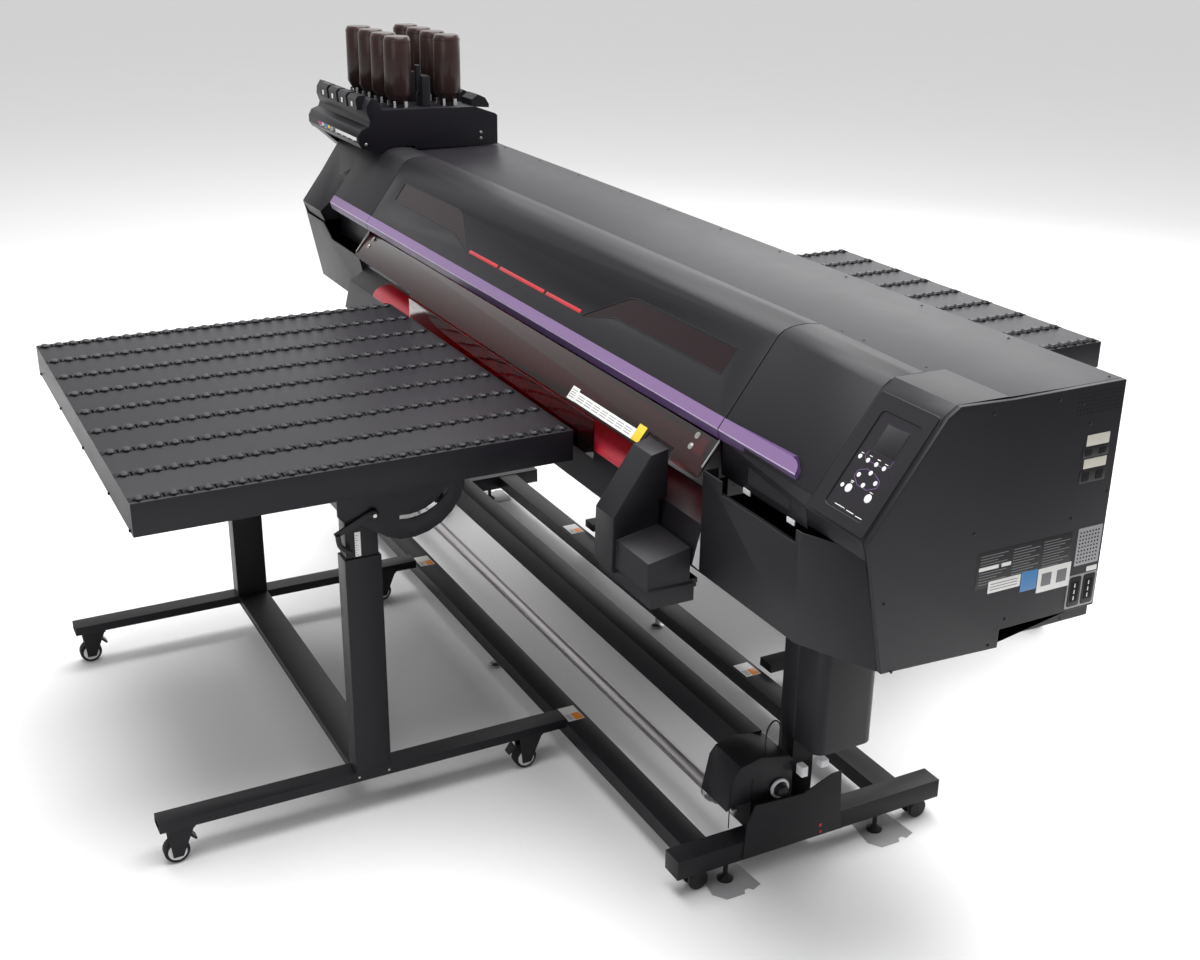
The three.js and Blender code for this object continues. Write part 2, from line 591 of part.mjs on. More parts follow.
// ---------------------------------------------------------------- ink station
function makeInkStation() {
  const x0 = -BODY_END;
  const x1 = -1185;
  const side = [[-160, 1318], [-206, 1334], [-216, 1350], [-216, 1374], [-205, 1394], [-178, 1404],
    [-172, 1420], [-182, 1450], [-180, 1474], [-166, 1496], [-146, 1490], [-130, 1456],
    [206, 1450], [284, 1424], [293, 1417], [293, 1318]];
  const lift = side.map(([y, z]) => [y, z + GAP]);
  const beside = [[-196, 1330], [-118, 1261], [240, 1261], [293, 1300], [293, 1330]];
  const shell = join(alongX(lift.reverse(), x0, x1), alongX(beside, x0, BODY_L - 1));
  const hollow = join(box(x0 + 5, x1 - 5, -150, 285, 1324, 1420),
    box(x0 + 5, BODY_L - 6, -100, 236, 1266, 1340));
  const mouth = box(x0 + 20, x1 - 20, -20, 120, 1300, 1330);
  const well = [];
  for (const y of Object.values(BOTTLE_ROWS)) {
    for (let i = 0; i < 4; i += 1) {
      well.push(rod('z', [BOTTLE_X - i * BOTTLE_PITCH, y, 0], 22, 1400, 1500, 20));
    }
  }
  const slopeClear = alongX([[-15, 1300], [-15, 1331.5], [-62, 1333.5], [-100, 1331.5],
    [-120, 1326], [-134, 1314], [-300, 1088], [-300, 1000]], BODY_L - 1, x1 + 5);
  add('ink_station', cut(shell, hollow, mouth, slopeClear, ...well), sheet);

  for (const [row, y] of Object.entries(BOTTLE_ROWS)) {
    for (let i = 0; i < 4; i += 1) {
      const bottle = turned([[0, 1424], [18, 1424], [18, 1458], [24, 1462], [42, 1490],
        [BOTTLE_R, 1498], [BOTTLE_R, 1674], [40, BOTTLE_TOP], [0, BOTTLE_TOP]], 'z', [0, 0, 0], 20);
      const mesh = add(`ink_bottle_${row}_${i + 1}`, bottle, bottleBrown);
      mesh.position.set(BOTTLE_X - i * BOTTLE_PITCH, y, 0);
    }
  }
}

// ---------------------------------------------------------------- roller tables
// Each table is modelled in front of the printer; the rear one is its mirror image in Y.
function mirrorY(body, side) {
  return side < 0 ? body : body.mirror([0, 1, 0]);
}

function tableBase() {
  const bars = [-1, 1].map((s) => box(TABLE_X + s * BAR_X - BAR_W / 2, TABLE_X + s * BAR_X + BAR_W / 2,
    -TABLE_OUT - 8, -324, BAR_LOW, BAR_TOP));
  const cross = box(TABLE_X - BAR_X, TABLE_X + BAR_X, -POST_Y - POST_W / 2, -POST_Y + POST_W / 2,
    BAR_LOW + 1, BAR_TOP - 1);
  const posts = [-1, 1].map((s) => box(TABLE_X + s * BAR_X - 27, TABLE_X + s * BAR_X + 27,
    -POST_Y - POST_W / 2, -POST_Y + POST_W / 2, BAR_LOW + 5, POST_TOP));
  const bores = [-1, 1].map((s) => box(TABLE_X + s * BAR_X - 23, TABLE_X + s * BAR_X + 23,
    -POST_Y - 41, -POST_Y + 41, BAR_TOP + 2, POST_TOP + 1));
  const forks = [];
  for (const s of [-1, 1]) {
    for (const y of WHEEL_YS) {
      forks.push(casterFork(TABLE_X + s * BAR_X, -y));
    }
  }
  const barHollows = [-1, 1].map((s) => box(TABLE_X + s * BAR_X - 25, TABLE_X + s * BAR_X + 25,
    -TABLE_OUT - 5, -320, BAR_LOW + 3, BAR_TOP - 3));
  const crossHollow = box(TABLE_X - BAR_X, TABLE_X + BAR_X, -POST_Y - POST_W / 2 + 3,
    -POST_Y + POST_W / 2 - 3, BAR_LOW + 4, BAR_TOP - 4);
  return cut(join(...bars, cross, ...posts, ...forks), ...bores, ...barHollows, crossHollow);
}

// A caster fork: two cheeks and a top plate, joined by the axle that the wheel turns on.
function casterFork(x, y) {
  const cheek = [[y - 20, BAR_LOW + 1], [y - 12, 20], [y + 12, 20], [y + 46, BAR_LOW + 1]];
  return join(
    alongX(cheek, x - 22, x - 18),
    alongX(cheek, x + 18, x + 22),
    box(x - 22, x + 22, y - 20, y + 46, BAR_LOW - 8, BAR_LOW + 1),
    rod('x', [x, y, WHEEL_R], 5, -21, 21, 12),
  );
}

function casterWheel() {
  return turned([[5.6, -15], [22, -15], [WHEEL_R - 3, -16], [WHEEL_R, -12], [WHEEL_R, 12],
    [WHEEL_R - 3, 16], [22, 15], [5.6, 15], [5.6, -15]], 'x', [0, 0, 0], 20);
}

// Inner posts with the cross tube that ties them together.
function tableLift() {
  const posts = [-1, 1].map((s) => box(TABLE_X + s * BAR_X - 22, TABLE_X + s * BAR_X + 22,
    -POST_Y - 40, -POST_Y + 40, 420, 856));
  const bores = [-1, 1].map((s) => box(TABLE_X + s * BAR_X - 18, TABLE_X + s * BAR_X + 18,
    -POST_Y - 36, -POST_Y + 36, 410, 850));
  const tie = box(TABLE_X - BAR_X + 20, TABLE_X + BAR_X - 20, -POST_Y - 25, -POST_Y + 25, 790, 830);
  const channel = box(TABLE_X - BAR_X + 24, TABLE_X + BAR_X - 24, -POST_Y - 21, -POST_Y + 21, 780, 826);
  return join(cut(join(...posts), ...bores), cut(tie, channel));
}

// The tray: a shallow pan open below, with an arc plate outside each post.
function tableTray() {
  const half = TABLE_W / 2;
  const low = TRAY_TOP - TRAY_H;
  const pan = box(TABLE_X - half, TABLE_X + half, -TABLE_OUT, -TABLE_IN, low, TRAY_TOP);
  const inside = box(TABLE_X - half + 2, TABLE_X + half - 2, -TABLE_OUT + 2, -TABLE_IN - 2,
    low - 5, TRAY_TOP - 2);
  const arcs = [-1, 1].map((s) => {
    const x = TABLE_X + s * (BAR_X + 23);
    return arcPlate(Math.min(x, x + s * 5), Math.max(x, x + s * 5));
  });
  return join(cut(pan, inside), ...arcs);
}

// Arc plate: hangs from the tray, with a curved slot round the tilt axis.
function arcPlate(x0, x1) {
  const edge = [[-918, TRAY_TOP - 1], [-918, 820], [-900, 800], [-862, 790], [-800, 748]];
  for (let step = 0; step <= 6; step += 1) {
    const angle = THREE.MathUtils.degToRad(-98 + step * 14);
    edge.push([-746 + 150 * Math.cos(angle), 884 + 150 * Math.sin(angle)]);
  }
  edge.push([-606, TRAY_TOP - 1]);
  const slot = [];
  for (let step = 0; step <= 6; step += 1) {
    const angle = THREE.MathUtils.degToRad(-100 + step * 11);
    slot.push([-746 + 126 * Math.cos(angle), 910 + 126 * Math.sin(angle)]);
  }
  return cut(alongX(edge, x0, x1), alongX(sheetOutline(slot, 11), x0 - 2, x1 + 2));
}

function makeTable(name, side) {
  add(`${name}_table_base`, mirrorY(tableBase(), side), frameSteel);
  add(`${name}_table_lift`, mirrorY(tableLift(), side), frameSteel);
  add(`${name}_table_tray`, mirrorY(tableTray(), side), sheet);
  for (const [end, s] of [['left', -1], ['right', 1]]) {
    for (const [place, y] of [['outer', WHEEL_YS[0]], ['inner', WHEEL_YS[1]]]) {
      const wheel = add(`${name}_table_wheel_${place}_${end}`, casterWheel(), rubber);
      wheel.position.set(TABLE_X + s * BAR_X, side * y, WHEEL_R);
    }
  }
}

makeStand();
makeTakeUp();
makeLowerBody();
makeUpperBody();
makeKeys();
makeCarriage();
makeInkStation();
makeTable('front', -1);
makeTable('rear', 1);

export default machine;
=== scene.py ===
import json
import math

import bmesh
import bpy
import numpy as np
from bpy.props import FloatProperty, FloatVectorProperty, IntProperty, PointerProperty
from mathutils import Matrix, Vector

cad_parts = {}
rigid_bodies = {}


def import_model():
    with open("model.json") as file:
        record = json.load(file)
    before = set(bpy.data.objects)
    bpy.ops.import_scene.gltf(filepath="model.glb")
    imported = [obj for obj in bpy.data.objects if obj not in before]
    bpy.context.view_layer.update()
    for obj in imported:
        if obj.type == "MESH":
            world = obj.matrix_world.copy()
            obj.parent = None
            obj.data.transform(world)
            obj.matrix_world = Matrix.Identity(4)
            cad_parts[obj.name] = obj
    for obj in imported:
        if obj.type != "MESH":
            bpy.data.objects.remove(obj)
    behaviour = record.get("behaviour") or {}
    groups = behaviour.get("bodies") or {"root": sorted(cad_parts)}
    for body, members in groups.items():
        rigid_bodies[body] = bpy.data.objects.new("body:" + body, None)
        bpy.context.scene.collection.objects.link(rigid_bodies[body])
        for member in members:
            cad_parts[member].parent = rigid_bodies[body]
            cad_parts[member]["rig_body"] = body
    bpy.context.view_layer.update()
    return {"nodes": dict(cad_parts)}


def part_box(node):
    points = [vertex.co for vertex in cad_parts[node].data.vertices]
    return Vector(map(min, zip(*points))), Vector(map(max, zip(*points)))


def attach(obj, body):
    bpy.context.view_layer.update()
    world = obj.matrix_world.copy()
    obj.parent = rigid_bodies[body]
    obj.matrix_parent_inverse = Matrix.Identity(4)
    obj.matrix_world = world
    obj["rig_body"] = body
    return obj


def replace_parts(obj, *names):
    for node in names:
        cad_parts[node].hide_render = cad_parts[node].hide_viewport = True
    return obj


bl_info = {
    "name": "Wide Ultraviolet Printer",
    "version": (1, 0, 0),
    "blender": (4, 5, 0),
    "location": "View3D > Sidebar > Printer",
    "description": "Builds the trims, keys, rollers, labels and finishes of a wide-format printer "
                   "with roller tables",
    "category": "Add Mesh",
}

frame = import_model()

MM = 0.001

# Fixed places of the machine, in millimetres.
TABLE_X = 30.0
TABLE_HALF = 629.0
TABLE_INNER, TABLE_OUTER = 338.0, 1382.0
TRAY_TOP = 960.0
BAR_X = 548.0
WHEEL_PLACES = (1352.0, 438.0)
STAND_X, LEG_X = 50.0, 1171.0
SLOPE_LOW = np.array([-253.0, 1146.0])
SLOPE_HIGH = np.array([-131.0, 1312.0])
FACE_TOP = np.array([-125.0, 1302.0])
FACE_LOW = np.array([-286.0, 1085.0])
BOTTLE_XS = [-1262.0 - 128.0 * i for i in range(4)]
BOTTLE_YS = {"front": -40.0, "rear": 140.0}


# ------------------------------------------------------------------ settings
class PrinterSizes(bpy.types.PropertyGroup):
    """Sizes that a user may change."""

    edge_radius: FloatProperty(name="Edge radius", description="Rounding along the edges of the covers",
                               default=0.0016, min=0.0002, max=0.004, unit="LENGTH")
    trim_height: FloatProperty(name="Trim height",
                               description="How far the coloured trim stands off the cover",
                               default=0.0016, min=0.0005, max=0.004, unit="LENGTH")
    roller_radius: FloatProperty(name="Roller radius", description="Radius of a table roller",
                                 default=0.019, min=0.008, max=0.025, unit="LENGTH")
    roller_width: FloatProperty(name="Roller width", description="Length of a table roller along its axle",
                                default=0.021, min=0.005, max=0.03, unit="LENGTH")
    roller_rows: IntProperty(name="Roller rows", description="Rows of rollers across a table", default=9,
                             min=2, max=20)
    rollers_per_row: IntProperty(name="Rollers per row", description="Rollers in one row", default=28,
                                 min=4, max=60)
    rib_count: IntProperty(name="Guide ribs", description="Lengthwise ribs on the red guide", default=13,
                           min=3, max=30)


class PrinterColours(bpy.types.PropertyGroup):
    """Colours that a user may change."""

    cover: FloatVectorProperty(name="Covers", description="Moulded covers", subtype="COLOR", size=3,
                               default=(0.0080, 0.0070, 0.0098), min=0, max=1)
    sheet: FloatVectorProperty(name="Sheet metal", description="Coated sheet panels", subtype="COLOR",
                               size=3,
                               default=(0.0062, 0.0050, 0.0084), min=0, max=1)
    steel_frame: FloatVectorProperty(name="Frame", description="Coated frame and tables", subtype="COLOR",
                                     size=3,
                                     default=(0.0056, 0.0050, 0.0076), min=0, max=1)
    # The two trim colours are one violet: lit on the upper face, and darker on the lower face as painted
    # shade.
    trim_upper_painted_light: FloatVectorProperty(name="Trim, upper face", description="Lighter face of the trim",
                                    subtype="COLOR",
                                    size=3, default=(0.19, 0.115, 0.25), min=0, max=1)
    trim_lower_painted_shade: FloatVectorProperty(name="Trim, lower face", description="Darker face of the trim",
                                    subtype="COLOR",
                                    size=3, default=(0.075, 0.036, 0.125), min=0, max=1)
    guide: FloatVectorProperty(name="Guide", description="Ribbed media guide", subtype="COLOR", size=3,
                               default=(0.42, 0.010, 0.028), min=0, max=1)
    shield: FloatVectorProperty(name="Shield", description="Tinted ultraviolet shield", subtype="COLOR",
                                size=3,
                                default=(0.44, 0.012, 0.030), min=0, max=1)
    bottle: FloatVectorProperty(name="Bottles", description="Ink bottles", subtype="COLOR", size=3,
                                default=(0.030, 0.013, 0.012), min=0, max=1)


def sizes():
    return bpy.context.scene.printer_sizes


def colours():
    return bpy.context.scene.printer_colours


# ------------------------------------------------------------------ surfaces
def grid_shell(points, close_u=False, close_v=True, ends=True):
    """A shell from a grid of points P(u, v), one row of points for each u.

    Quad (u, v) joins P(u, v), P(u+1, v), P(u+1, v+1) and P(u, v+1). The first and last rows
    are closed with one face each when ends is true.
    """
    points = np.asarray(points, float)
    rows, cols = points.shape[:2]
    u, v = np.meshgrid(np.arange(rows if close_u else rows - 1),
                       np.arange(cols if close_v else cols - 1), indexing="ij")
    u2, v2 = (u + 1) % rows, (v + 1) % cols
    quads = np.stack([u * cols + v, u2 * cols + v, u2 * cols + v2, u * cols + v2], -1).reshape(-1, 4)
    faces = quads.tolist()
    if ends and not close_u:
        faces.append(list(range(cols))[::-1])
        faces.append(list(range((rows - 1) * cols, rows * cols)))
    return points.reshape(-1, 3), faces


def along_x(section, xs):
    """A section of (y, z) points carried along X: P(u, v) = (x_u, y_v, z_v)."""
    section, xs = np.asarray(section, float), np.asarray(xs, float)
    points = np.empty((len(xs), len(section), 3))
    points[..., 0] = xs[:, None]
    points[..., 1:] = section[None]
    return grid_shell(points)


def turned(profile, centre, axis, sides=32):
    """A turned shell: P(s, t) = c + h(s) a + r(s) (cos t e1 + sin t e2), profile rows are (r, h)."""
    profile, centre = np.asarray(profile, float), np.asarray(centre, float)
    a = np.asarray(axis, float) / np.linalg.norm(axis)
    e1 = np.cross(a, (0.0, 0.0, 1.0) if abs(a[2]) < 0.9 else (1.0, 0.0, 0.0))
    e1 /= np.linalg.norm(e1)
    e2 = np.cross(a, e1)
    t = np.linspace(0, 2 * np.pi, sides, endpoint=False)
    ring = np.cos(t)[:, None] * e1 + np.sin(t)[:, None] * e2
    r, h = np.maximum(profile[:, 0], 0.02), profile[:, 1]
    points = centre + h[:, None, None] * a + r[:, None, None] * ring[None]
    return grid_shell(points)


def shrunk(outline, by):
    """The closed outline moved inwards: p - by * n, with n the mean outward normal at p."""
    outline = np.asarray(outline, float)
    ahead = np.roll(outline, -1, 0) - outline
    ahead /= np.linalg.norm(ahead, axis=1)[:, None] + 1e-12
    normal = np.stack([ahead[:, 1], -ahead[:, 0]], 1)
    area = np.sum(outline[:, 0] * np.roll(outline[:, 1], -1) - np.roll(outline[:, 0], -1) * outline[:, 1])
    mean = normal + np.roll(normal, 1, 0)
    mean /= np.maximum((mean ** 2).sum(1), 0.3)[:, None] / 2
    return outline - np.sign(area) * by * mean


def plate(outline, origin, u_axis, v_axis, low, high, edge=0.0):
    """A plate: P = o + a u + b v + w n for outline (a, b), w from low to high, n = u x v.

    With an edge, the outline is moved in by that much over the last stretch of height.
    """
    outline = np.asarray(outline, float)
    u_axis, v_axis = np.asarray(u_axis, float), np.asarray(v_axis, float)
    n = np.cross(u_axis, v_axis)
    steps = [(outline, low), (outline, high - edge)]
    if edge > 0:
        steps += [(shrunk(outline, edge * 0.3), high - edge * 0.3), (shrunk(outline, edge), high)]
    rows = [np.asarray(origin) + o[:, :1] * u_axis + o[:, 1:] * v_axis + w * n for o, w in steps]
    return grid_shell(np.array(rows))


def frame_plate(outer, inner, origin, u_axis, v_axis, low, high, edge=0.0):
    """A plate with a hole: rings outer-low, outer-high, inner-high, inner-low, closed both ways."""
    u_axis, v_axis = np.asarray(u_axis, float), np.asarray(v_axis, float)
    n = np.cross(u_axis, v_axis)
    outer, inner = np.asarray(outer, float), np.asarray(inner, float)
    steps = [(outer, low), (outer, high - edge), (shrunk(outer, edge), high),
             (shrunk(inner, -edge), high), (inner, high - edge), (inner, low)]
    rows = [np.asarray(origin) + o[:, :1] * u_axis + o[:, 1:] * v_axis + w * n for o, w in steps]
    return grid_shell(np.array(rows), close_u=True)


def rounded(width, height, radius, centre=(0.0, 0.0), steps=5):
    """A rectangle outline with corners c + r (cos t, sin t), t over a quarter turn at each."""
    radius = min(radius, width / 2 - 1e-3, height / 2 - 1e-3)
    corners = np.array([[1, 1], [-1, 1], [-1, -1], [1, -1]]) * (width / 2 - radius, height / 2 - radius)
    t = np.linspace(0, np.pi / 2, steps)[None] + np.arange(4)[:, None] * np.pi / 2
    arc = np.stack([np.cos(t), np.sin(t)], -1) * radius
    return (corners[:, None] + arc).reshape(-1, 2) + centre


def block(x0, x1, y0, y1, z0, z1, edge=0.8):
    """A box with softened upper edges and rounded upright ones."""
    centre = ((x0 + x1) / 2, (y0 + y1) / 2)
    outline = rounded(x1 - x0, y1 - y0, edge * 1.5, centre, 3)
    return plate(outline, (0, 0, 0), (1, 0, 0), (0, 1, 0), z0, z1, edge)


def spread(shell, places):
    """The shell at each place: P_k = P + p_k, as one array, with the faces numbered on."""
    points, faces = shell
    places = np.asarray(places, float)
    moved = (points[None] + places[:, None]).reshape(-1, 3)
    count = len(points)
    return moved, [[i + k * count for i in face] for k in range(len(places)) for face in faces]


def tube(route, radius, sides=10, samples=8):
    """A round tube along a smooth route: P = c(s) + r (cos t N + sin t B), with N and B carried
    along the route so that they turn as little as possible. c(s) is a Catmull-Rom curve."""
    p = np.asarray(route, float)
    q = np.vstack([2 * p[0] - p[1], p, 2 * p[-1] - p[-2]])
    t = np.linspace(0, 1, samples, endpoint=False)[:, None]
    pieces = [0.5 * (2 * q[i + 1] + (q[i + 2] - q[i]) * t
                     + (2 * q[i] - 5 * q[i + 1] + 4 * q[i + 2] - q[i + 3]) * t ** 2
                     + (3 * q[i + 1] - q[i] - 3 * q[i + 2] + q[i + 3]) * t ** 3) for i in range(len(p) - 1)]
    c = np.vstack(pieces + [p[-1:]])
    d = np.gradient(c, axis=0)
    d /= np.linalg.norm(d, axis=1)[:, None]
    normal = np.cross(d[0], (0.3, 0.5, 0.81))
    rows = []
    a = np.linspace(0, 2 * np.pi, sides, endpoint=False)[:, None]
    for centre, along in zip(c, d):
        normal = normal - along * (normal @ along)
        normal /= np.linalg.norm(normal)
        rows.append(centre + radius * (np.cos(a) * normal + np.sin(a) * np.cross(along, normal)))
    return grid_shell(np.array(rows))


def mirrored(shell, side):
    """The shell as it is for the front table, and with y turned to -y for the rear one."""
    points, faces = shell
    return (points, faces) if side < 0 else (points * (1, -1, 1), faces)


# ------------------------------------------------------------------ objects
def piece(name, shells, materials, body, smooth=35.0):
    """One object from shells in millimetres; shells is a list of (shell, material number)."""
    points, faces, numbers, start = [], [], [], 0
    for (co, shell_faces), number in shells:
        points.append(co)
        faces += [[i + start for i in face] for face in shell_faces]
        numbers += [number] * len(shell_faces)
        start += len(co)
    mesh = bpy.data.meshes.new(name)
    mesh.from_pydata((np.vstack(points) * MM).tolist(), [], faces)
    for material in materials:
        mesh.materials.append(material)
    mesh.polygons.foreach_set("material_index", numbers)
    bm = bmesh.new()
    bm.from_mesh(mesh)
    bmesh.ops.recalc_face_normals(bm, faces=bm.faces)
    bm.to_mesh(mesh)
    bm.free()
    mesh.polygons.foreach_set("use_smooth", [True] * len(mesh.polygons))
    mesh.set_sharp_from_angle(angle=math.radians(smooth))
    made = bpy.data.objects.new(name, mesh)
    bpy.context.scene.collection.objects.link(made)
    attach(made, body)
    return made


def softened(node, width, material, settle=None):
    """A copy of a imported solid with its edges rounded, standing for that solid."""
    source = frame["nodes"][node]
    mesh = source.data.copy()
    mesh.name = node + "_finish"
    bm = bmesh.new()
    bm.from_mesh(mesh)
    bmesh.ops.remove_doubles(bm, verts=bm.verts, dist=3e-5)
    bmesh.ops.dissolve_limit(bm, angle_limit=math.radians(0.8), verts=bm.verts, edges=bm.edges)
    bm.to_mesh(mesh)
    bm.free()
    if settle is not None:
        co = np.empty(len(mesh.vertices) * 3)
        mesh.vertices.foreach_get("co", co)
        co = settle(co.reshape(-1, 3))
        mesh.vertices.foreach_set("co", co.ravel())
    mesh.materials.clear()
    mesh.materials.append(material)
    mesh.polygons.foreach_set("use_smooth", [True] * len(mesh.polygons))
    made = bpy.data.objects.new(node + "_finish", mesh)
    bpy.context.scene.collection.objects.link(made)
    bevel = made.modifiers.new("edges", "BEVEL")
    bevel.width = width
    bevel.segments = 2
    bevel.limit_method = "ANGLE"
    bevel.angle_limit = math.radians(32)
    bevel.harden_normals = True
    bevel.use_clamp_overlap = True
    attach(made, source["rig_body"])
    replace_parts(made, node)
    return made


# ------------------------------------------------------------------ finishes
def make_group(name, inputs, outputs):
    """A shader node group with named sockets; returns the group and its in and out nodes."""
    group = bpy.data.node_groups.new(name, "ShaderNodeTree")
    for title, kind, value in inputs:
        socket = group.interface.new_socket(name=title, in_out="INPUT", socket_type=kind)
        socket.default_value = value
    for title, kind in outputs:
        group.interface.new_socket(name=title, in_out="OUTPUT", socket_type=kind)
    return group, group.nodes.new("NodeGroupInput"), group.nodes.new("NodeGroupOutput")


def noise_node(tree, scale, detail=3.0, roughness=0.55, vector=None):
    node = tree.nodes.new("ShaderNodeTexNoise")
    node.inputs["Scale"].default_value = scale
    node.inputs["Detail"].default_value = detail
    node.inputs["Roughness"].default_value = roughness
    if vector is not None:
        tree.links.new(vector, node.inputs["Vector"])
    return node


def math_node(tree, operation, a, b=None, clamp=False):
    node = tree.nodes.new("ShaderNodeMath")
    node.operation = operation
    node.use_clamp = clamp
    for socket, value in zip(node.inputs, (a, b)):
        if value is None:
            continue
        if isinstance(value, (int, float)):
            socket.default_value = value
        else:
            tree.links.new(value, socket)
    return node.outputs[0]


def mix_colour(tree, factor, a, b, blend="MIX"):
    node = tree.nodes.new("ShaderNodeMix")
    node.data_type = "RGBA"
    node.blend_type = blend
    for socket, value in ((node.inputs[0], factor), (node.inputs[6], a), (node.inputs[7], b)):
        if isinstance(value, (int, float, tuple)):
            socket.default_value = value
        else:
            tree.links.new(value, socket)
    return node.outputs[2]


def handled_group():
    """Handled surface: slow colour drift, faint smudges in the gloss, settled dust and a fine grain."""
    if "Handled surface" in bpy.data.node_groups:
        return bpy.data.node_groups["Handled surface"]
    colour, number = "NodeSocketColor", "NodeSocketFloat"
    group, start, end = make_group("Handled surface", [
        ("Colour", colour, (0.02, 0.02, 0.02, 1)), ("Dust Colour", colour, (0.16, 0.155, 0.15, 1)),
        ("Dust", number, 0.05), ("Drift", number, 0.12), ("Roughness", number, 0.5),
        ("Smudges", number, 0.08), ("Grain Scale", number, 900.0)],
        [("Colour", colour), ("Roughness", number), ("Grain", number)])
    link = group.links.new
    where = group.nodes.new("ShaderNodeTexCoord").outputs["Object"]
    slow = noise_node(group, 2.3, 2.0, 0.5, where).outputs["Fac"]
    smudge = noise_node(group, 11.0, 5.0, 0.6, where).outputs["Fac"]
    grain = noise_node(group, 900.0, 2.0, 0.6, where)
    link(start.outputs["Grain Scale"], grain.inputs["Scale"])
    normal = group.nodes.new("ShaderNodeNewGeometry").outputs["Normal"]
    parts = group.nodes.new("ShaderNodeSeparateXYZ")
    link(normal, parts.inputs[0])
    facing_up = math_node(group, "MULTIPLY", math_node(group, "SUBTRACT", parts.outputs[2], 0.55, True),
                          2.2, True)
    settled = math_node(group, "MULTIPLY", facing_up,
                        math_node(group, "MULTIPLY", smudge, start.outputs["Dust"]))
    darker = mix_colour(group, start.outputs["Drift"], start.outputs["Colour"], slow, "MULTIPLY")
    doubled = mix_colour(group, math_node(group, "MULTIPLY", start.outputs["Drift"], 0.6), darker,
                         (1, 1, 1, 1), "ADD")
    drifted = mix_colour(group, 0.06, darker, doubled)
    link(mix_colour(group, settled, drifted, start.outputs["Dust Colour"]), end.inputs["Colour"])
    swing = math_node(group, "MULTIPLY", math_node(group, "SUBTRACT", smudge, 0.5),
                      start.outputs["Smudges"])
    rough = math_node(group, "ADD", start.outputs["Roughness"], swing)
    link(math_node(group, "ADD", rough, math_node(group, "MULTIPLY", settled, 0.5), True),
         end.inputs["Roughness"])
    link(grain.outputs["Fac"], end.inputs["Grain"])
    return group


def brushed_group():
    """Brushed metal: long fine lines along X, in the colour, the gloss and the height."""
    if "Brushed lines" in bpy.data.node_groups:
        return bpy.data.node_groups["Brushed lines"]
    colour, number = "NodeSocketColor", "NodeSocketFloat"
    group, start, end = make_group("Brushed lines", [
        ("Colour", colour, (0.5, 0.5, 0.5, 1)), ("Roughness", number, 0.3), ("Strength", number, 0.3)],
        [("Colour", colour), ("Roughness", number), ("Height", number)])
    link = group.links.new
    where = group.nodes.new("ShaderNodeTexCoord").outputs["Object"]
    stretch = group.nodes.new("ShaderNodeMapping")
    stretch.inputs["Scale"].default_value = (6.0, 900.0, 900.0)
    link(where, stretch.inputs["Vector"])
    lines = noise_node(group, 1.0, 3.0, 0.6, stretch.outputs[0]).outputs["Fac"]
    tint = mix_colour(group, start.outputs["Strength"], start.outputs["Colour"], lines, "MULTIPLY")
    link(tint, end.inputs["Colour"])
    swing = math_node(group, "MULTIPLY", math_node(group, "SUBTRACT", lines, 0.5),
                      start.outputs["Strength"])
    link(math_node(group, "ADD", start.outputs["Roughness"], swing, True), end.inputs["Roughness"])
    link(lines, end.inputs["Height"])
    return group


def new_material(name, **settings):
    material = bpy.data.materials.new(name)
    material.use_nodes = True
    shader = material.node_tree.nodes["Principled BSDF"]
    for socket, value in settings.items():
        shader.inputs[socket.replace("_", " ").title().replace("Ior", "IOR")].default_value = value
    return material, material.node_tree, shader


def handled(name, colour, roughness=0.5, grain=900.0, bump=0.05, dust=0.05, drift=0.12, smudges=0.08,
            **settings):
    """A moulded, coated or rubber finish with grain, smudges and a little settled dust."""
    if name in bpy.data.materials:
        return bpy.data.materials[name]
    settings.setdefault("specular_ior_level", 0.22 if max(colour) < 0.08 else 0.4)
    material, tree, shader = new_material(name, **settings)
    group = tree.nodes.new("ShaderNodeGroup")
    group.node_tree = handled_group()
    for title, value in (("Colour", (*colour, 1)), ("Dust", dust), ("Drift", drift),
                         ("Roughness", roughness),
                         ("Smudges", smudges), ("Grain Scale", grain)):
        group.inputs[title].default_value = value
    tree.links.new(group.outputs["Colour"], shader.inputs["Base Color"])
    tree.links.new(group.outputs["Roughness"], shader.inputs["Roughness"])
    relief = tree.nodes.new("ShaderNodeBump")
    relief.inputs["Strength"].default_value = bump
    relief.inputs["Distance"].default_value = 0.0004
    tree.links.new(group.outputs["Grain"], relief.inputs["Height"])
    tree.links.new(relief.outputs[0], shader.inputs["Normal"])
    return material


def brushed(name, colour, roughness=0.3, strength=0.3):
    """Bare metal with lines along the machine."""
    if name in bpy.data.materials:
        return bpy.data.materials[name]
    material, tree, shader = new_material(name, metallic=1.0)
    group = tree.nodes.new("ShaderNodeGroup")
    group.node_tree = brushed_group()
    group.inputs["Colour"].default_value = (*colour, 1)
    group.inputs["Roughness"].default_value = roughness
    group.inputs["Strength"].default_value = strength
    tree.links.new(group.outputs["Colour"], shader.inputs["Base Color"])
    tree.links.new(group.outputs["Roughness"], shader.inputs["Roughness"])
    relief = tree.nodes.new("ShaderNodeBump")
    relief.inputs["Strength"].default_value = 0.08
    relief.inputs["Distance"].default_value = 0.0002
    tree.links.new(group.outputs["Height"], relief.inputs["Height"])
    tree.links.new(relief.outputs[0], shader.inputs["Normal"])
    return material


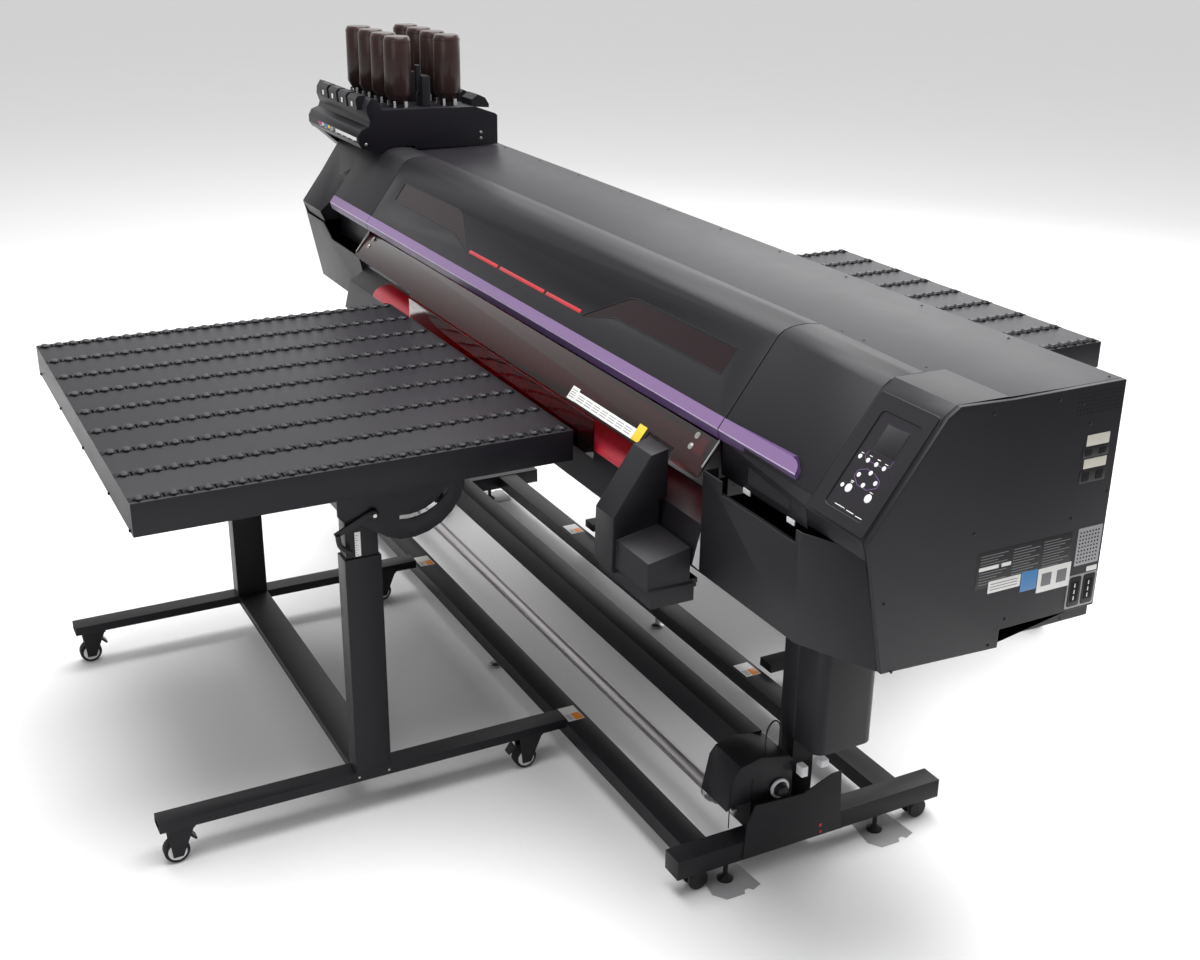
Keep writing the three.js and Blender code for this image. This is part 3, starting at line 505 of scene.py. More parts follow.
def tinted_acrylic(name, colour, see_through):
    """Tinted clear sheet, polished, with faint wipe marks in its gloss."""
    if name in bpy.data.materials:
        return bpy.data.materials[name]
    material, tree, shader = new_material(name, ior=1.49, transmission_weight=see_through,
                                          specular_ior_level=0.15)
    where = tree.nodes.new("ShaderNodeTexCoord").outputs["Object"]
    wipes = noise_node(tree, 9.0, 4.0, 0.6, where).outputs["Fac"]
    tree.links.new(math_node(tree, "MULTIPLY", wipes, 0.14), shader.inputs["Roughness"])
    shade = mix_colour(tree, wipes, (colour[0] * 0.8, colour[1] * 0.8, colour[2] * 0.8, 1), (*colour, 1))
    tree.links.new(shade, shader.inputs["Base Color"])
    return material


def cover_plastic():
    return handled("Cover plastic", tuple(colours().cover), 0.42, 1500.0, 0.10, 0.05)


def coated_sheet():
    return handled("Coated sheet", tuple(colours().sheet), 0.40, 700.0, 0.12, 0.05)


def coated_frame():
    return handled("Coated frame", tuple(colours().steel_frame), 0.42, 800.0, 0.12, 0.06)


def black_plastic():
    return handled("Black plastic", (0.009, 0.009, 0.011), 0.35, 1600.0, 0.05, 0.04)


# Near-black used as painted shade in holes, slots, vents and grooves, and also for printed ticks and the dark
# joints on the back.
def deep_black():
    return handled("Deep black", (0.002, 0.002, 0.003), 0.75, 900.0, 0.05, 0.0)


def tyre_rubber():
    return handled("Tyre rubber", (0.012, 0.012, 0.013), 0.65, 1200.0, 0.2, 0.12)


def white_plastic():
    return handled("White plastic", (0.72, 0.72, 0.74), 0.38, 1400.0, 0.05, 0.02, 0.05)


def pale_grey():
    return handled("Pale grey paint", (0.34, 0.34, 0.35), 0.45, 800.0, 0.1, 0.05)


def zinc_steel():
    return brushed("Zinc steel", (0.62, 0.61, 0.58), 0.32, 0.35)


def label_white():
    return handled("Label film", (0.78, 0.78, 0.76), 0.35, 500.0, 0.02, 0.0, 0.03)


def label_orange():
    return handled("Orange label film", (0.85, 0.27, 0.02), 0.35, 500.0, 0.02, 0.0, 0.03)


def guide_red():
    return handled("Guide red", tuple(colours().guide), 0.36, 900.0, 0.03, 0.0, 0.1, 0.1, coat_weight=0.1)


def shield_red():
    return tinted_acrylic("Shield acrylic", tuple(colours().shield), 1.0)


def window_red():
    return tinted_acrylic("Window acrylic", (0.014, 0.003, 0.005), 0.3)


SLOPE_O = np.array([0.0, *SLOPE_LOW])
SLOPE_U = np.array([1.0, 0.0, 0.0])
SLOPE_V = np.array([0.0, *(SLOPE_HIGH - SLOPE_LOW)]) / np.linalg.norm(SLOPE_HIGH - SLOPE_LOW)
SHIELD_O = np.array([0.0, -256.0, 1101.0])
SHIELD_V = np.array([0.0, math.sin(math.radians(38)), math.cos(math.radians(38))])
FACE_U = np.array([1.0, 0.0, 0.0])
FACE_V = np.array([0.0, *(FACE_TOP - FACE_LOW)]) / np.linalg.norm(FACE_TOP - FACE_LOW)
FACE_O = np.array([0.0, *FACE_TOP])


def box_outline(x0, x1, v0, v1, radius=0.6, steps=4):
    return rounded(abs(x1 - x0), abs(v1 - v0), radius, ((x0 + x1) / 2, (v0 + v1) / 2), steps)


def face_bar(x0, x1, down0, down1, low, high, radius=0.6, edge=0.2):
    """A small plate on the key face; down is counted from the face's upper bend."""
    return plate(box_outline(x0, x1, -down1, -down0, radius), FACE_O, FACE_U, FACE_V, low, high, edge)


def slope_bar(x0, x1, up0, up1, low, high, radius=0.8, edge=0.2):
    return plate(box_outline(x0, x1, up0, up1, radius), SLOPE_O, SLOPE_U, SLOPE_V, low, high, edge)


def shield_bar(x0, x1, down0, down1, low, high, radius=1.0, edge=0.1):
    """A small plate on the red shield; down is counted from its upper edge."""
    return plate(box_outline(x0, x1, -down1, -down0, radius), SHIELD_O, SLOPE_U, SHIELD_V, low, high, edge)


def end_bar(y0, y1, z0, z1, low, high, radius=1.0, edge=0.2, side=1):
    """A small plate on an end panel; low and high are X places. Outline in (y, z)."""
    outline = box_outline(y0, y1, z0, z1, radius)
    if side > 0:
        return plate(outline, (0, 0, 0), (0, 1, 0), (0, 0, 1), low, high, edge)
    return plate(outline * (-1, 1), (0, 0, 0), (0, -1, 0), (0, 0, 1), -high, -low, edge)


def screw(centre, axis, radius=3.2, height=1.4):
    """A domed screw head with a recessed socket."""
    profile = [(radius, 0), (radius, height * 0.5), (radius * 0.8, height * 0.9), (radius * 0.45, height),
               (radius * 0.45, height * 0.45), (0, height * 0.45)]
    return turned(profile, centre, axis, 14)


# ------------------------------------------------------------------ pieces
class PRINTER_OT_covers(bpy.types.Operator):
    """Give the moulded covers and sheet panels rounded edges and their finish"""

    bl_idname = "printer.covers"
    bl_label = "Covers and panels"

    def execute(self, context):
        edge = sizes().edge_radius
        for node in ("front_cover", "right_cover", "control_housing", "left_cover", "lower_right_cover",
                     "left_end_cover", "front_pod", "take_up_housing", "waste_ink_tank", "print_carriage"):
            softened(node, edge, cover_plastic())
        for node in ("top_cover", "platen_beam"):
            softened(node, edge * 0.5, coated_sheet())
        softened("right_end_panel", edge, coated_sheet(),
                 lambda co: np.where(co > (1.7295, 9, 9), co - (0.0018, 0, 0), co))
        softened("ink_station", edge, coated_sheet(),
                 lambda co: np.where(co < (-1.7295, -9, -9), co + (0.0018, 0, 0), co))
        return {"FINISHED"}


class PRINTER_OT_frame_finish(bpy.types.Operator):
    """Give the stand, the tables and the bare metal pieces their finish"""

    bl_idname = "printer.frame_finish"
    bl_label = "Frame finish"

    def execute(self, context):
        for node in ("stand_leg_left", "stand_leg_right", "front_beam", "rear_beam", "tension_profile",
                     "front_table_base", "rear_table_base", "front_table_lift", "rear_table_lift"):
            softened(node, 0.0022, coated_frame())
        for node in ("front_table_tray", "rear_table_tray"):
            softened(node, 0.0012, coated_sheet())
        softened("platen", 0.0006, brushed("Bed aluminium", (0.30, 0.30, 0.31), 0.42, 0.3))
        finishes = {"feed_roller": zinc_steel(),
                    "carriage_rail": brushed("Rail metal", (0.36, 0.36, 0.37), 0.35, 0.3),
                    "window_left": window_red(), "window_right": window_red()}
        for node, material in finishes.items():
            for place in frame["nodes"][node].material_slots:
                place.material = material
        return {"FINISHED"}


class PRINTER_OT_trims(bpy.types.Operator):
    """Add the trim along the front, with its lower face in painted shade and a painted highlight line along
    its crease, and the bars on the slope
    """

    bl_idname = "printer.trims"
    bl_label = "Trims"

    def execute(self, context):
        # One violet, lit on the upper face and in painted shade on the lower face; the light line along the
        # crease is a painted highlight.
        upper = handled("Trim upper", tuple(colours().trim_upper_painted_light), 0.32, 1500.0, 0.03, 0.02)
        lower = handled("Trim lower", tuple(colours().trim_lower_painted_shade), 0.32, 1500.0, 0.03, 0.02)
        crease_highlight = handled("Trim crease", (0.62, 0.52, 0.72), 0.25, 1500.0, 0.02, 0.0)
        out = sizes().trim_height / MM
        t = np.linspace(0, 1, 9)
        top, crease, low = np.array([-252.4, 1149.2]), np.array([-268.2, 1127.6]), np.array([-262.6, 1104.6])
        away = np.array([-0.8, 0.6]) * out
        down = np.array([-0.97, -0.24]) * out
        upper_face = top + away + (crease - top) * t[:, None]
        section = np.vstack([upper_face, [crease + down + (0.0, -1.6), low + down], [low, crease, top]])
        for name, x0, x1, body in (("trim_left", -1361, -991.5, "printer"), ("trim_middle", -988.5, 1189.5,
                                   "front_cover_body"), ("trim_right", 1192.5, 1440, "printer")):
            # The right end is rounded: X(t) = x1 + 33 sqrt(1 - (1 - t)^2), t from the top to the crease.
            ends = np.full(len(section), float(x1))
            if name == "trim_right":
                ends[:9] += 33 * np.sqrt(1 - (1 - t) ** 2)
                ends[9:13] += 33
                ends[13] = ends[0]
            points = np.empty((2, len(section), 3))
            points[..., 1:] = section
            points[0, :, 0], points[1, :, 0] = x0, ends
            if name == "trim_right":
                points[1, -3:, 1] += (3, 14, 13)  # the cover falls back towards this end
            co, faces = grid_shell(points)
            made = piece(name, [((co, faces), 0)], [upper, crease_highlight, lower], body, 20)
            # Face materials: the upper face lit, the crease facet as a painted highlight, the lower face and
            # the ends in painted shade.
            kinds = [0] * 8 + [1] + [2] * (len(section) - 9) + [2, 2]
            made.data.polygons.foreach_set("material_index", kinds)
        red = handled("Thin red bar", (0.45, 0.02, 0.03), 0.35, 1200.0, 0.02, 0.0)
        bars = [(slope_bar(a, b, 49.5, 59.5, 0.1, 0.7), 0) for a,
                b in ((-238, -41), (-26, 253), (267, 464))]
        piece("slope_bars", bars, [red], "front_cover_body")
        return {"FINISHED"}


class PRINTER_OT_windows(bpy.types.Operator):
    """Add the gaskets round the two windows of the front cover"""

    bl_idname = "printer.windows"
    bl_label = "Windows"

    def execute(self, context):
        outlines = {"left": [(-893, 150), (-442, 150), (-405, 140), (-252, 48), (-405, 84), (-893, 86)],
                    "right": [(475, 46), (613, 80), (1091, 80), (1091, 146), (656, 146), (624, 138)]}
        for side, outline in outlines.items():
            ring = frame_plate(shrunk(outline, -1.6), shrunk(outline, 1.2), SLOPE_O, SLOPE_U, SLOPE_V, -0.4,
                               0.7, 0.2)
            piece(f"window_gasket_{side}", [(ring, 0)], [black_plastic()], "front_cover_body")
        return {"FINISHED"}


class PRINTER_OT_control_panel(bpy.types.Operator):
    """Add the raised face round the control panel, its display, keys and printed lines"""

    bl_idname = "printer.control_panel"
    bl_label = "Control panel"

    def execute(self, context):
        rim = frame_plate(rounded(173, 261, 7, (1626, -135), 6), rounded(117, 205, 10, (1632, -139.5), 6),
                          FACE_O, FACE_U, FACE_V, 0.1, 2.8, 1.2)
        piece("panel_surround", [(rim, 0)], [cover_plastic()], "printer")
        bed = plate(rounded(117, 205, 10, (1632, -139.5), 6), FACE_O, FACE_U, FACE_V, 0.05, 0.5)
        screen_edge = frame_plate(box_outline(1602, 1669, -116, -55, 3),
                                  box_outline(1604, 1667, -114, -57, 2),
                                  FACE_O, FACE_U, FACE_V, 0.5, 1.1, 0.3)
        panel_face = handled("Panel film", (0.012, 0.0105, 0.014), 0.3, 500.0, 0.03, 0.0)
        piece("panel_film", [(bed, 0), (screen_edge, 0)], [panel_face], "printer")
        screen = handled("Screen", (0.006, 0.006, 0.008), 0.08, 300.0, 0.0, 0.0, 0.05, 0.03,
                         coat_weight=0.6)
        piece("display", [(face_bar(1604, 1667, 57, 114, 0.5, 0.8, 2), 0)], [screen], "printer")
        self.keys()
        self.printed_lines()
        return {"FINISHED"}

    def keys(self):
        normal = np.cross(FACE_U, FACE_V)

        def cap(x, down, r):
            profile = [(r, -4.6), (r, 0.7), (r * 0.93, 1.15), (r * 0.6, 1.35), (0, 1.4)]
            return turned(profile, FACE_O + FACE_U * x - FACE_V * down, normal, 24)

        small = [(1587, 134.4), (1611, 134.4), (1636, 134.4), (1659, 134.4), (1611, 166), (1636, 153.3),
                 (1636, 179.7), (1661, 166)]
        mat = [(cap(x, down, 4.9), 0) for x, down in small] + [(cap(1666, 197, 8.8), 0)]
        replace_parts(piece("small_keys", mat, [white_plastic()], "key_mat_body"), "key_mat")
        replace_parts(piece("power_key_cap", [(cap(1607, 197, 8.8), 0)], [white_plastic()], "power_key_body"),
                    "power_key")

    def printed_lines(self):
        ink = handled("Violet print", (0.20, 0.10, 0.30), 0.45, 900.0, 0.0, 0.0)
        white = label_white()

        def stroke(a, b, width=0.9):
            a, b = np.array(a, float), np.array(b, float)
            along = (b - a) / np.linalg.norm(b - a)
            across = np.array([-along[1], along[0]]) * width / 2
            outline = [a - across, b - across, b + across, a + across]
            return plate([(p[0], -p[1]) for p in outline], FACE_O, FACE_U, FACE_V, 0.45, 0.62)

        ring = [(1601, 171), (1604, 158), (1622, 149), (1649, 152), (1669, 160), (1670, 173), (1650, 185),
                (1621, 184)]
        row = [(1600, 115), (1598, 129), (1604, 134.4), (1664, 134.4), (1669.5, 127), (1670.5, 113)]
        shells = [(stroke(ring[i], ring[(i + 1) % len(ring)]), 0) for i in range(len(ring))]
        shells += [(stroke(row[i], row[i + 1]), 0) for i in range(len(row) - 1)]
        marks = [(1584, 125.5, 8), (1608, 124, 9), (1632, 124, 9), (1655, 125, 9), (1602, 181, 9),
                 (1603, 184, 7),
                 (1661, 184, 10), (1598, 233, 30), (1634, 234, 22), (1662, 235, 20)]
        shells += [(face_bar(x, x + w, down, down + 1.5, 0.45, 0.65, 0.3, 0.05), 1) for x, down, w in marks]
        circle = turned([(3.2, 0.45), (4.4, 0.45), (4.4, 0.62), (3.2, 0.62)],
                        FACE_O + FACE_U * 1588 - FACE_V * 197, np.cross(FACE_U, FACE_V), 20)
        shells.append((circle, 1))
        piece("panel_print", shells, [ink, white], "printer")


class PRINTER_OT_end_panels(bpy.types.Operator):
    """Add vents, sockets, blank labels and screws to both ends and the back"""

    bl_idname = "printer.end_panels"
    bl_label = "Ends and back"

    def execute(self, context):
        face = 1728.2
        black, deep, zinc, pale = black_plastic(), deep_black(), zinc_steel(), pale_grey()
        # Cooling holes: near-black squares on the end face, painted shade for the holes.
        holes = [(end_bar(y, y + 4, z, z + 4, face, face + 0.4, 1.9, 0.1), 1)
                 for z in np.arange(1258, 1306, 8.0) for y in np.arange(190, 302, 8.0)]
        piece("cooling_holes", holes, [black, deep], "printer")
        # Near-black squares in the pale plate are painted shade for the grille's holes; the near-black faces
        # of the sockets are painted shade for their openings.
        shells = [(end_bar(240, 304, 932, 1014, face, face + 0.6, 2), 3)]
        shells += [(end_bar(y, y + 4, z, z + 4, face + 0.6, face + 0.9, 1.9, 0.1), 1)
                   for z in np.arange(938, 1008, 8.0) for y in np.arange(245, 300, 8.0)]
        for z0, z1 in ((1166, 1187), (1113, 1140)):
            shells.append((end_bar(220, 288, z0, z1, face, face + 0.8, 2), 0))
            shells += [(end_bar(y, y + 18, z0 + 4, z1 - 4, face + 0.8, face + 1.5, 1.5),
                        1) for y in (226, 262)]
        shells.append((end_bar(230, 307, 838, 912, face, face + 0.6, 3), 3))
        for y in (234, 271):
            shells.append((end_bar(y, y + 32, 842, 908, face + 0.6, face + 1.5, 5, 0.4), 0))
            shells.append((end_bar(y + 5, y + 27, 852, 898, face + 1.5, face + 1.6, 3, 0.05), 1))
            shells += [(end_bar(y + 14.6, y + 17.4, z, z + 9, face + 1.6, face + 1.7, 0.8, 0.05),
                        2) for z in (856, 870, 884)]
        piece("right_end_fittings", shells, [black, deep, zinc, pale], "printer")
        self.labels(face)
        self.screws(face)
        self.left_end()
        self.back()
        return {"FINISHED"}

    def labels(self, face):
        blue = handled("Blue label film", (0.05, 0.22, 0.50), 0.4, 500.0, 0.02, 0.0)
        grey = handled("Grey print", (0.17, 0.17, 0.18), 0.5, 500.0, 0.02, 0.0)
        cream = handled("Cream label film", (0.62, 0.58, 0.50), 0.4, 500.0, 0.02, 0.0)
        black, white = black_plastic(), label_white()
        shells = [(end_bar(-16, 226, 934, 1012, face, face + 0.3, 2), 0)]
        for i, z in enumerate(np.arange(942, 1008, 6.0)):
            for y in (-8, 74, 152):
                shells.append((end_bar(y, y + 44 + 12 * ((i * 7 + y) % 3), z, z + 1.6, face + 0.3,
                                       face + 0.4, 0.3, 0.03), 2))
        for y0, y1, z0, z1 in ((-10, 39, 972, 980), (46, 70, 972, 980), (18, 100, 920, 946),
                               (146, 232, 893, 946),
                               (276, 304, 914, 925)):
            shells.append((end_bar(y0, y1, z0, z1, face + 0.4, face + 0.7, 1.5), 4))
        shells += [(end_bar(y, y + 26, 906, 934, face + 0.7, face + 0.8, 1, 0.03), 2) for y in (156, 196)]
        shells += [(end_bar(24, 92, z, z + 1.6, face + 0.7, face + 0.8, 0.3, 0.03), 2) for z in (926, 932,
                                                                                                 938)]
        shells.append((end_bar(102, 144, 905, 948, face + 0.4, face + 0.7, 1.5), 1))
        shells += [(end_bar(227, 286, z0, z1, face, face + 0.5, 1.5), 3) for z0,
                   z1 in ((1190, 1213), (1143, 1163))]
        piece("blank_labels", shells, [black, blue, grey, cream, white], "printer")

    def screws(self, face):
        places = [(142, 1298), (-17, 1295), (229, 1238), (204, 1281), (303, 1084), (215, 1041), (-32, 1057),
                  (-234, 954), (73, 853), (222, 820), (38, 803), (-201, 803)]
        heads = [(screw((face, y, z), (1, 0, 0), 3.4, 1.4), 0) for y, z in places]
        piece("right_end_screws", heads, [black_plastic()], "printer")
        heads = [(screw((-1630, y, z), (-1, 0, 0), 3.4, 1.4), 0) for y, z in places if z < 1250]
        piece("left_end_screws", heads, [black_plastic()], "printer")
        tops = [(x, 292.0) for x in np.linspace(-1120, 1700, 11)] + [(1225.0, 8.0), (1300.0, 8.0),
                                                                     (1500.0, 8.0)]
        heads = [(screw((x, y, 1315), (0, 0, 1), 3.2, 1.2), 0) for x, y in tops]
        piece("top_screws", heads, [black_plastic()], "printer")

    def left_end(self):
        # Vent slots as near-black strips: painted shade for the slots.
        shells = [(end_bar(192, 293, z, z + 4.2, -1630.5, -1630, 2, 0.2, -1),
                   0) for z in np.arange(934, 1022, 7.5)]
        shells += [(end_bar(60, 160, z, z + 4.2, -1630.5, -1630, 2, 0.2, -1),
                    0) for z in np.arange(1200, 1262, 9.0)]
        piece("left_end_vents", shells, [deep_black()], "printer")

    def back(self):
        def rear_bar(x0, x1, z0, z1, low, high, radius=1.0):
            return plate(box_outline(-x1, -x0, z0, z1, radius), (0, 310, 0), (-1, 0, 0), (0, 0, 1), low,
                         high, 0.2)

        shells = []
        # Louvre slots as near-black strips, painted shade for the slots; the thin near-black lines after them
        # are panel joints.
        for x in (-1500, -900, -300, 300, 900, 1380):
            for i in range(9):
                shells.append((rear_bar(x, x + 120, 1190 + i * 9, 1194 + i * 9, 0.0, 0.5, 2), 1))
        for x in (-1000, -200, 600, 1195):
            shells.append((rear_bar(x - 0.8, x + 0.8, 1040, 1313, 0.0, 0.3, 0.2), 1))
        for x in np.linspace(-1600, 1700, 14):
            for z in (1050, 1300):
                shells.append((screw((x, 310, z), (0, 1, 0), 3.4, 1.3), 0))
        piece("back_fittings", shells, [black_plastic(), deep_black()], "printer")
        lip = [(y, z) for y, z in ((304.5, 952), (318, 948), (329, 936), (331, 922), (328, 922), (326, 935),
                                   (316, 945),
                                   (304.5, 948))]
        piece("rear_media_guide", [(along_x(lip, (-830, 962)), 0)], [coated_sheet()], "printer")


class PRINTER_OT_guide(bpy.types.Operator):
    """Replace the red guide with its ribbed form"""

    bl_idname = "printer.guide"
    bl_label = "Ribbed guide"

    def execute(self, context):
        # Section: c + (a cos t, b sin t) with ribs, a and b longer by 1.1 |sin(n t)|^6; the left end
        # shrinks to a rounded nose by s(x) = sqrt(1 - ((x1 - x) / w)^2) over its last width w.
        count = sizes().rib_count
        t = np.radians(np.linspace(84, 178, 14 * count))
        rib = -0.9 * np.abs(np.sin(count * (t - t[0]) * np.pi / (t[-1] - t[0]))) ** 0.35 + 0.9
        outer = np.stack([(57.4 - rib) * np.cos(t), (35.6 - rib) * np.sin(t)], 1)
        inner = np.stack([54.0 * np.cos(t), 32.6 * np.sin(t)], 1)[::-1]
        section = np.vstack([outer, inner])
        nose = 34.0
        w = np.sin(np.linspace(0, np.pi / 2, 9)) * nose
        xs = np.concatenate([-830 + nose - w[::-1], np.linspace(-700, 961, 12)])
        scale = np.ones(len(xs))
        scale[:9] = np.sqrt(np.maximum(1 - ((nose - (xs[:9] + 830)) / nose) ** 2, 0.012))
        points = np.empty((len(xs), len(section), 3))
        points[..., 0] = xs[:, None]
        points[..., 1] = -266 + section[None, :, 0] * scale[:, None]
        points[..., 2] = 930 + section[None, :, 1] * scale[:, None]
        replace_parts(piece("ribbed_guide", [(grid_shell(points), 0)], [guide_red()], "printer",
                          50),
                    "red_guide_lip")
        return {"FINISHED"}


class PRINTER_OT_shield(bpy.types.Operator):
    """Finish the ultraviolet shield: its sheet, label, brackets, screws and seal"""

    bl_idname = "printer.shield"
    bl_label = "Ultraviolet shield"

    def execute(self, context):
        softened("uv_shield", 0.0005, shield_red())
        bracket = handled("Bracket red", (0.40, 0.012, 0.025), 0.35, 900.0, 0.05, 0.0)
        yellow = handled("Yellow label film", (0.80, 0.55, 0.03), 0.4, 500.0, 0.02, 0.0)
        grey = handled("Grey print", (0.17, 0.17, 0.18), 0.5, 500.0, 0.02, 0.0)
        shells = [(shield_bar(586, 622, 71, 105, 0.05, 0.3), 0),
                  (shield_bar(620, 912, 78, 104, 0.05, 0.3), 0),
                  (shield_bar(908, 942, 63, 104, 0.3, 0.5), 1)]
        shells += [(shield_bar(630 + i * 39, 662 + i * 39, d, d + 2, 0.3, 0.4, 0.4, 0.03), 2)
                   for i in range(7) for d in (84, 90, 96)]
        shells += [(shield_bar(590, 616, d, d + 2, 0.3, 0.4, 0.4, 0.03), 2) for d in (78, 84, 90, 96)]
        piece("shield_label", shells, [label_white(), yellow, grey], "front_cover_body")
        fixings = []
        for x, way in ((1110.0, 1), (-930.0, -1)):
            fixings.append((shield_bar(min(x + way * 6, x + way * 42), max(x + way * 6, x + way * 42), 8,
                                       56, -6, -3.3, 3), 0))
            for down in (19, 46):
                at = SHIELD_O + SLOPE_U * x - SHIELD_V * down
                out = np.cross(SLOPE_U, SHIELD_V)
                fixings.append((screw(at, out, 5.5, 2.6), 1))
                fixings.append((turned([(8, 0), (8, 0.8), (5.8, 0.8), (5.8, 0)], at, out, 18), 1))
        piece("shield_fixings", fixings, [bracket, zinc_steel()], "front_cover_body")
        out = np.cross(SLOPE_U, SHIELD_V)
        rods = []
        for x, low in ((1187.0, 72), (-986.0, 84)):
            a, b = (SHIELD_O + SLOPE_U * x - SHIELD_V * d + out * 2.4 for d in (2, low))
            rods.append((tube([a, a * 0.5 + b * 0.5, b], 2.2, 10, 3), 0))
        piece("shield_seals", rods, [pale_grey()], "front_cover_body")
        flap = plate(box_outline(-455, 748, 914, 1012, 4), (0, -327.6, 0), (1, 0, 0), (0, 0, 1), 0, 2.0,
                     0.3)
        piece("guide_flap", [(flap, 0)], [shield_red()], "printer")
        return {"FINISHED"}


class PRINTER_OT_rollers(bpy.types.Operator):
    """Set the rollers, their axles and their slots into both tables"""

    bl_idname = "printer.rollers"
    bl_label = "Table rollers"

    def execute(self, context):
        r, w = sizes().roller_radius / MM, sizes().roller_width / MM
        xs = np.linspace(TABLE_X - TABLE_HALF + 22, TABLE_X + TABLE_HALF - 22, sizes().roller_rows)
        ys = np.linspace(TABLE_INNER + 22, TABLE_OUTER - 20, sizes().rollers_per_row)
        top = TRAY_TOP + 7.8
        tread = [(0, -w / 2), (r - 3.2, -w / 2), (r, -w / 2 + 4.4), (r, w / 2 - 4.4), (r - 3.2, w / 2),
                 (0, w / 2)]
        roller = turned(tread, (0, 0, top - r), (1, 0, 0), 14)
        # A near-black plate round each roller: painted shade for the tray's slot under it.
        slot_shade = plate(box_outline(-w / 2 - 3, w / 2 + 3, -r - 1.5, r + 1.5, 2, 2), (0, 0, TRAY_TOP),
                          (1, 0, 0),
                          (0, 1, 0), 0.0, 0.35)
        pin = turned([(0, -w / 2 - 5), (2.4, -w / 2 - 5), (2.4, w / 2 + 5), (0, w / 2 + 5)],
                     (0, 0, TRAY_TOP + 2.6), (1, 0, 0), 8)
        clip = block(w / 2 + 0.6, w / 2 + 5.6, -4.2, 4.2, TRAY_TOP, TRAY_TOP + 4.6, 0.6)
        dark = handled("Roller nylon", (0.006, 0.005, 0.008), 0.26, 1500.0, 0.05, 0.0)
        for name, side in (("front", -1), ("rear", 1)):
            places = np.stack(np.meshgrid(xs, side * ys, [0.0], indexing="ij"), -1).reshape(-1, 3)
            body = f"{name}_table_tray_body"
            piece(f"{name}_rollers", [(spread(roller, places), 0)], [dark], body)
            piece(f"{name}_roller_slots", [(spread(slot_shade, places), 0)], [deep_black()], body)
            piece(f"{name}_roller_pins", [(spread(pin, places), 0), (spread(clip, places), 1)],
                  [black_plastic(), deep_black()], body)
        return {"FINISHED"}


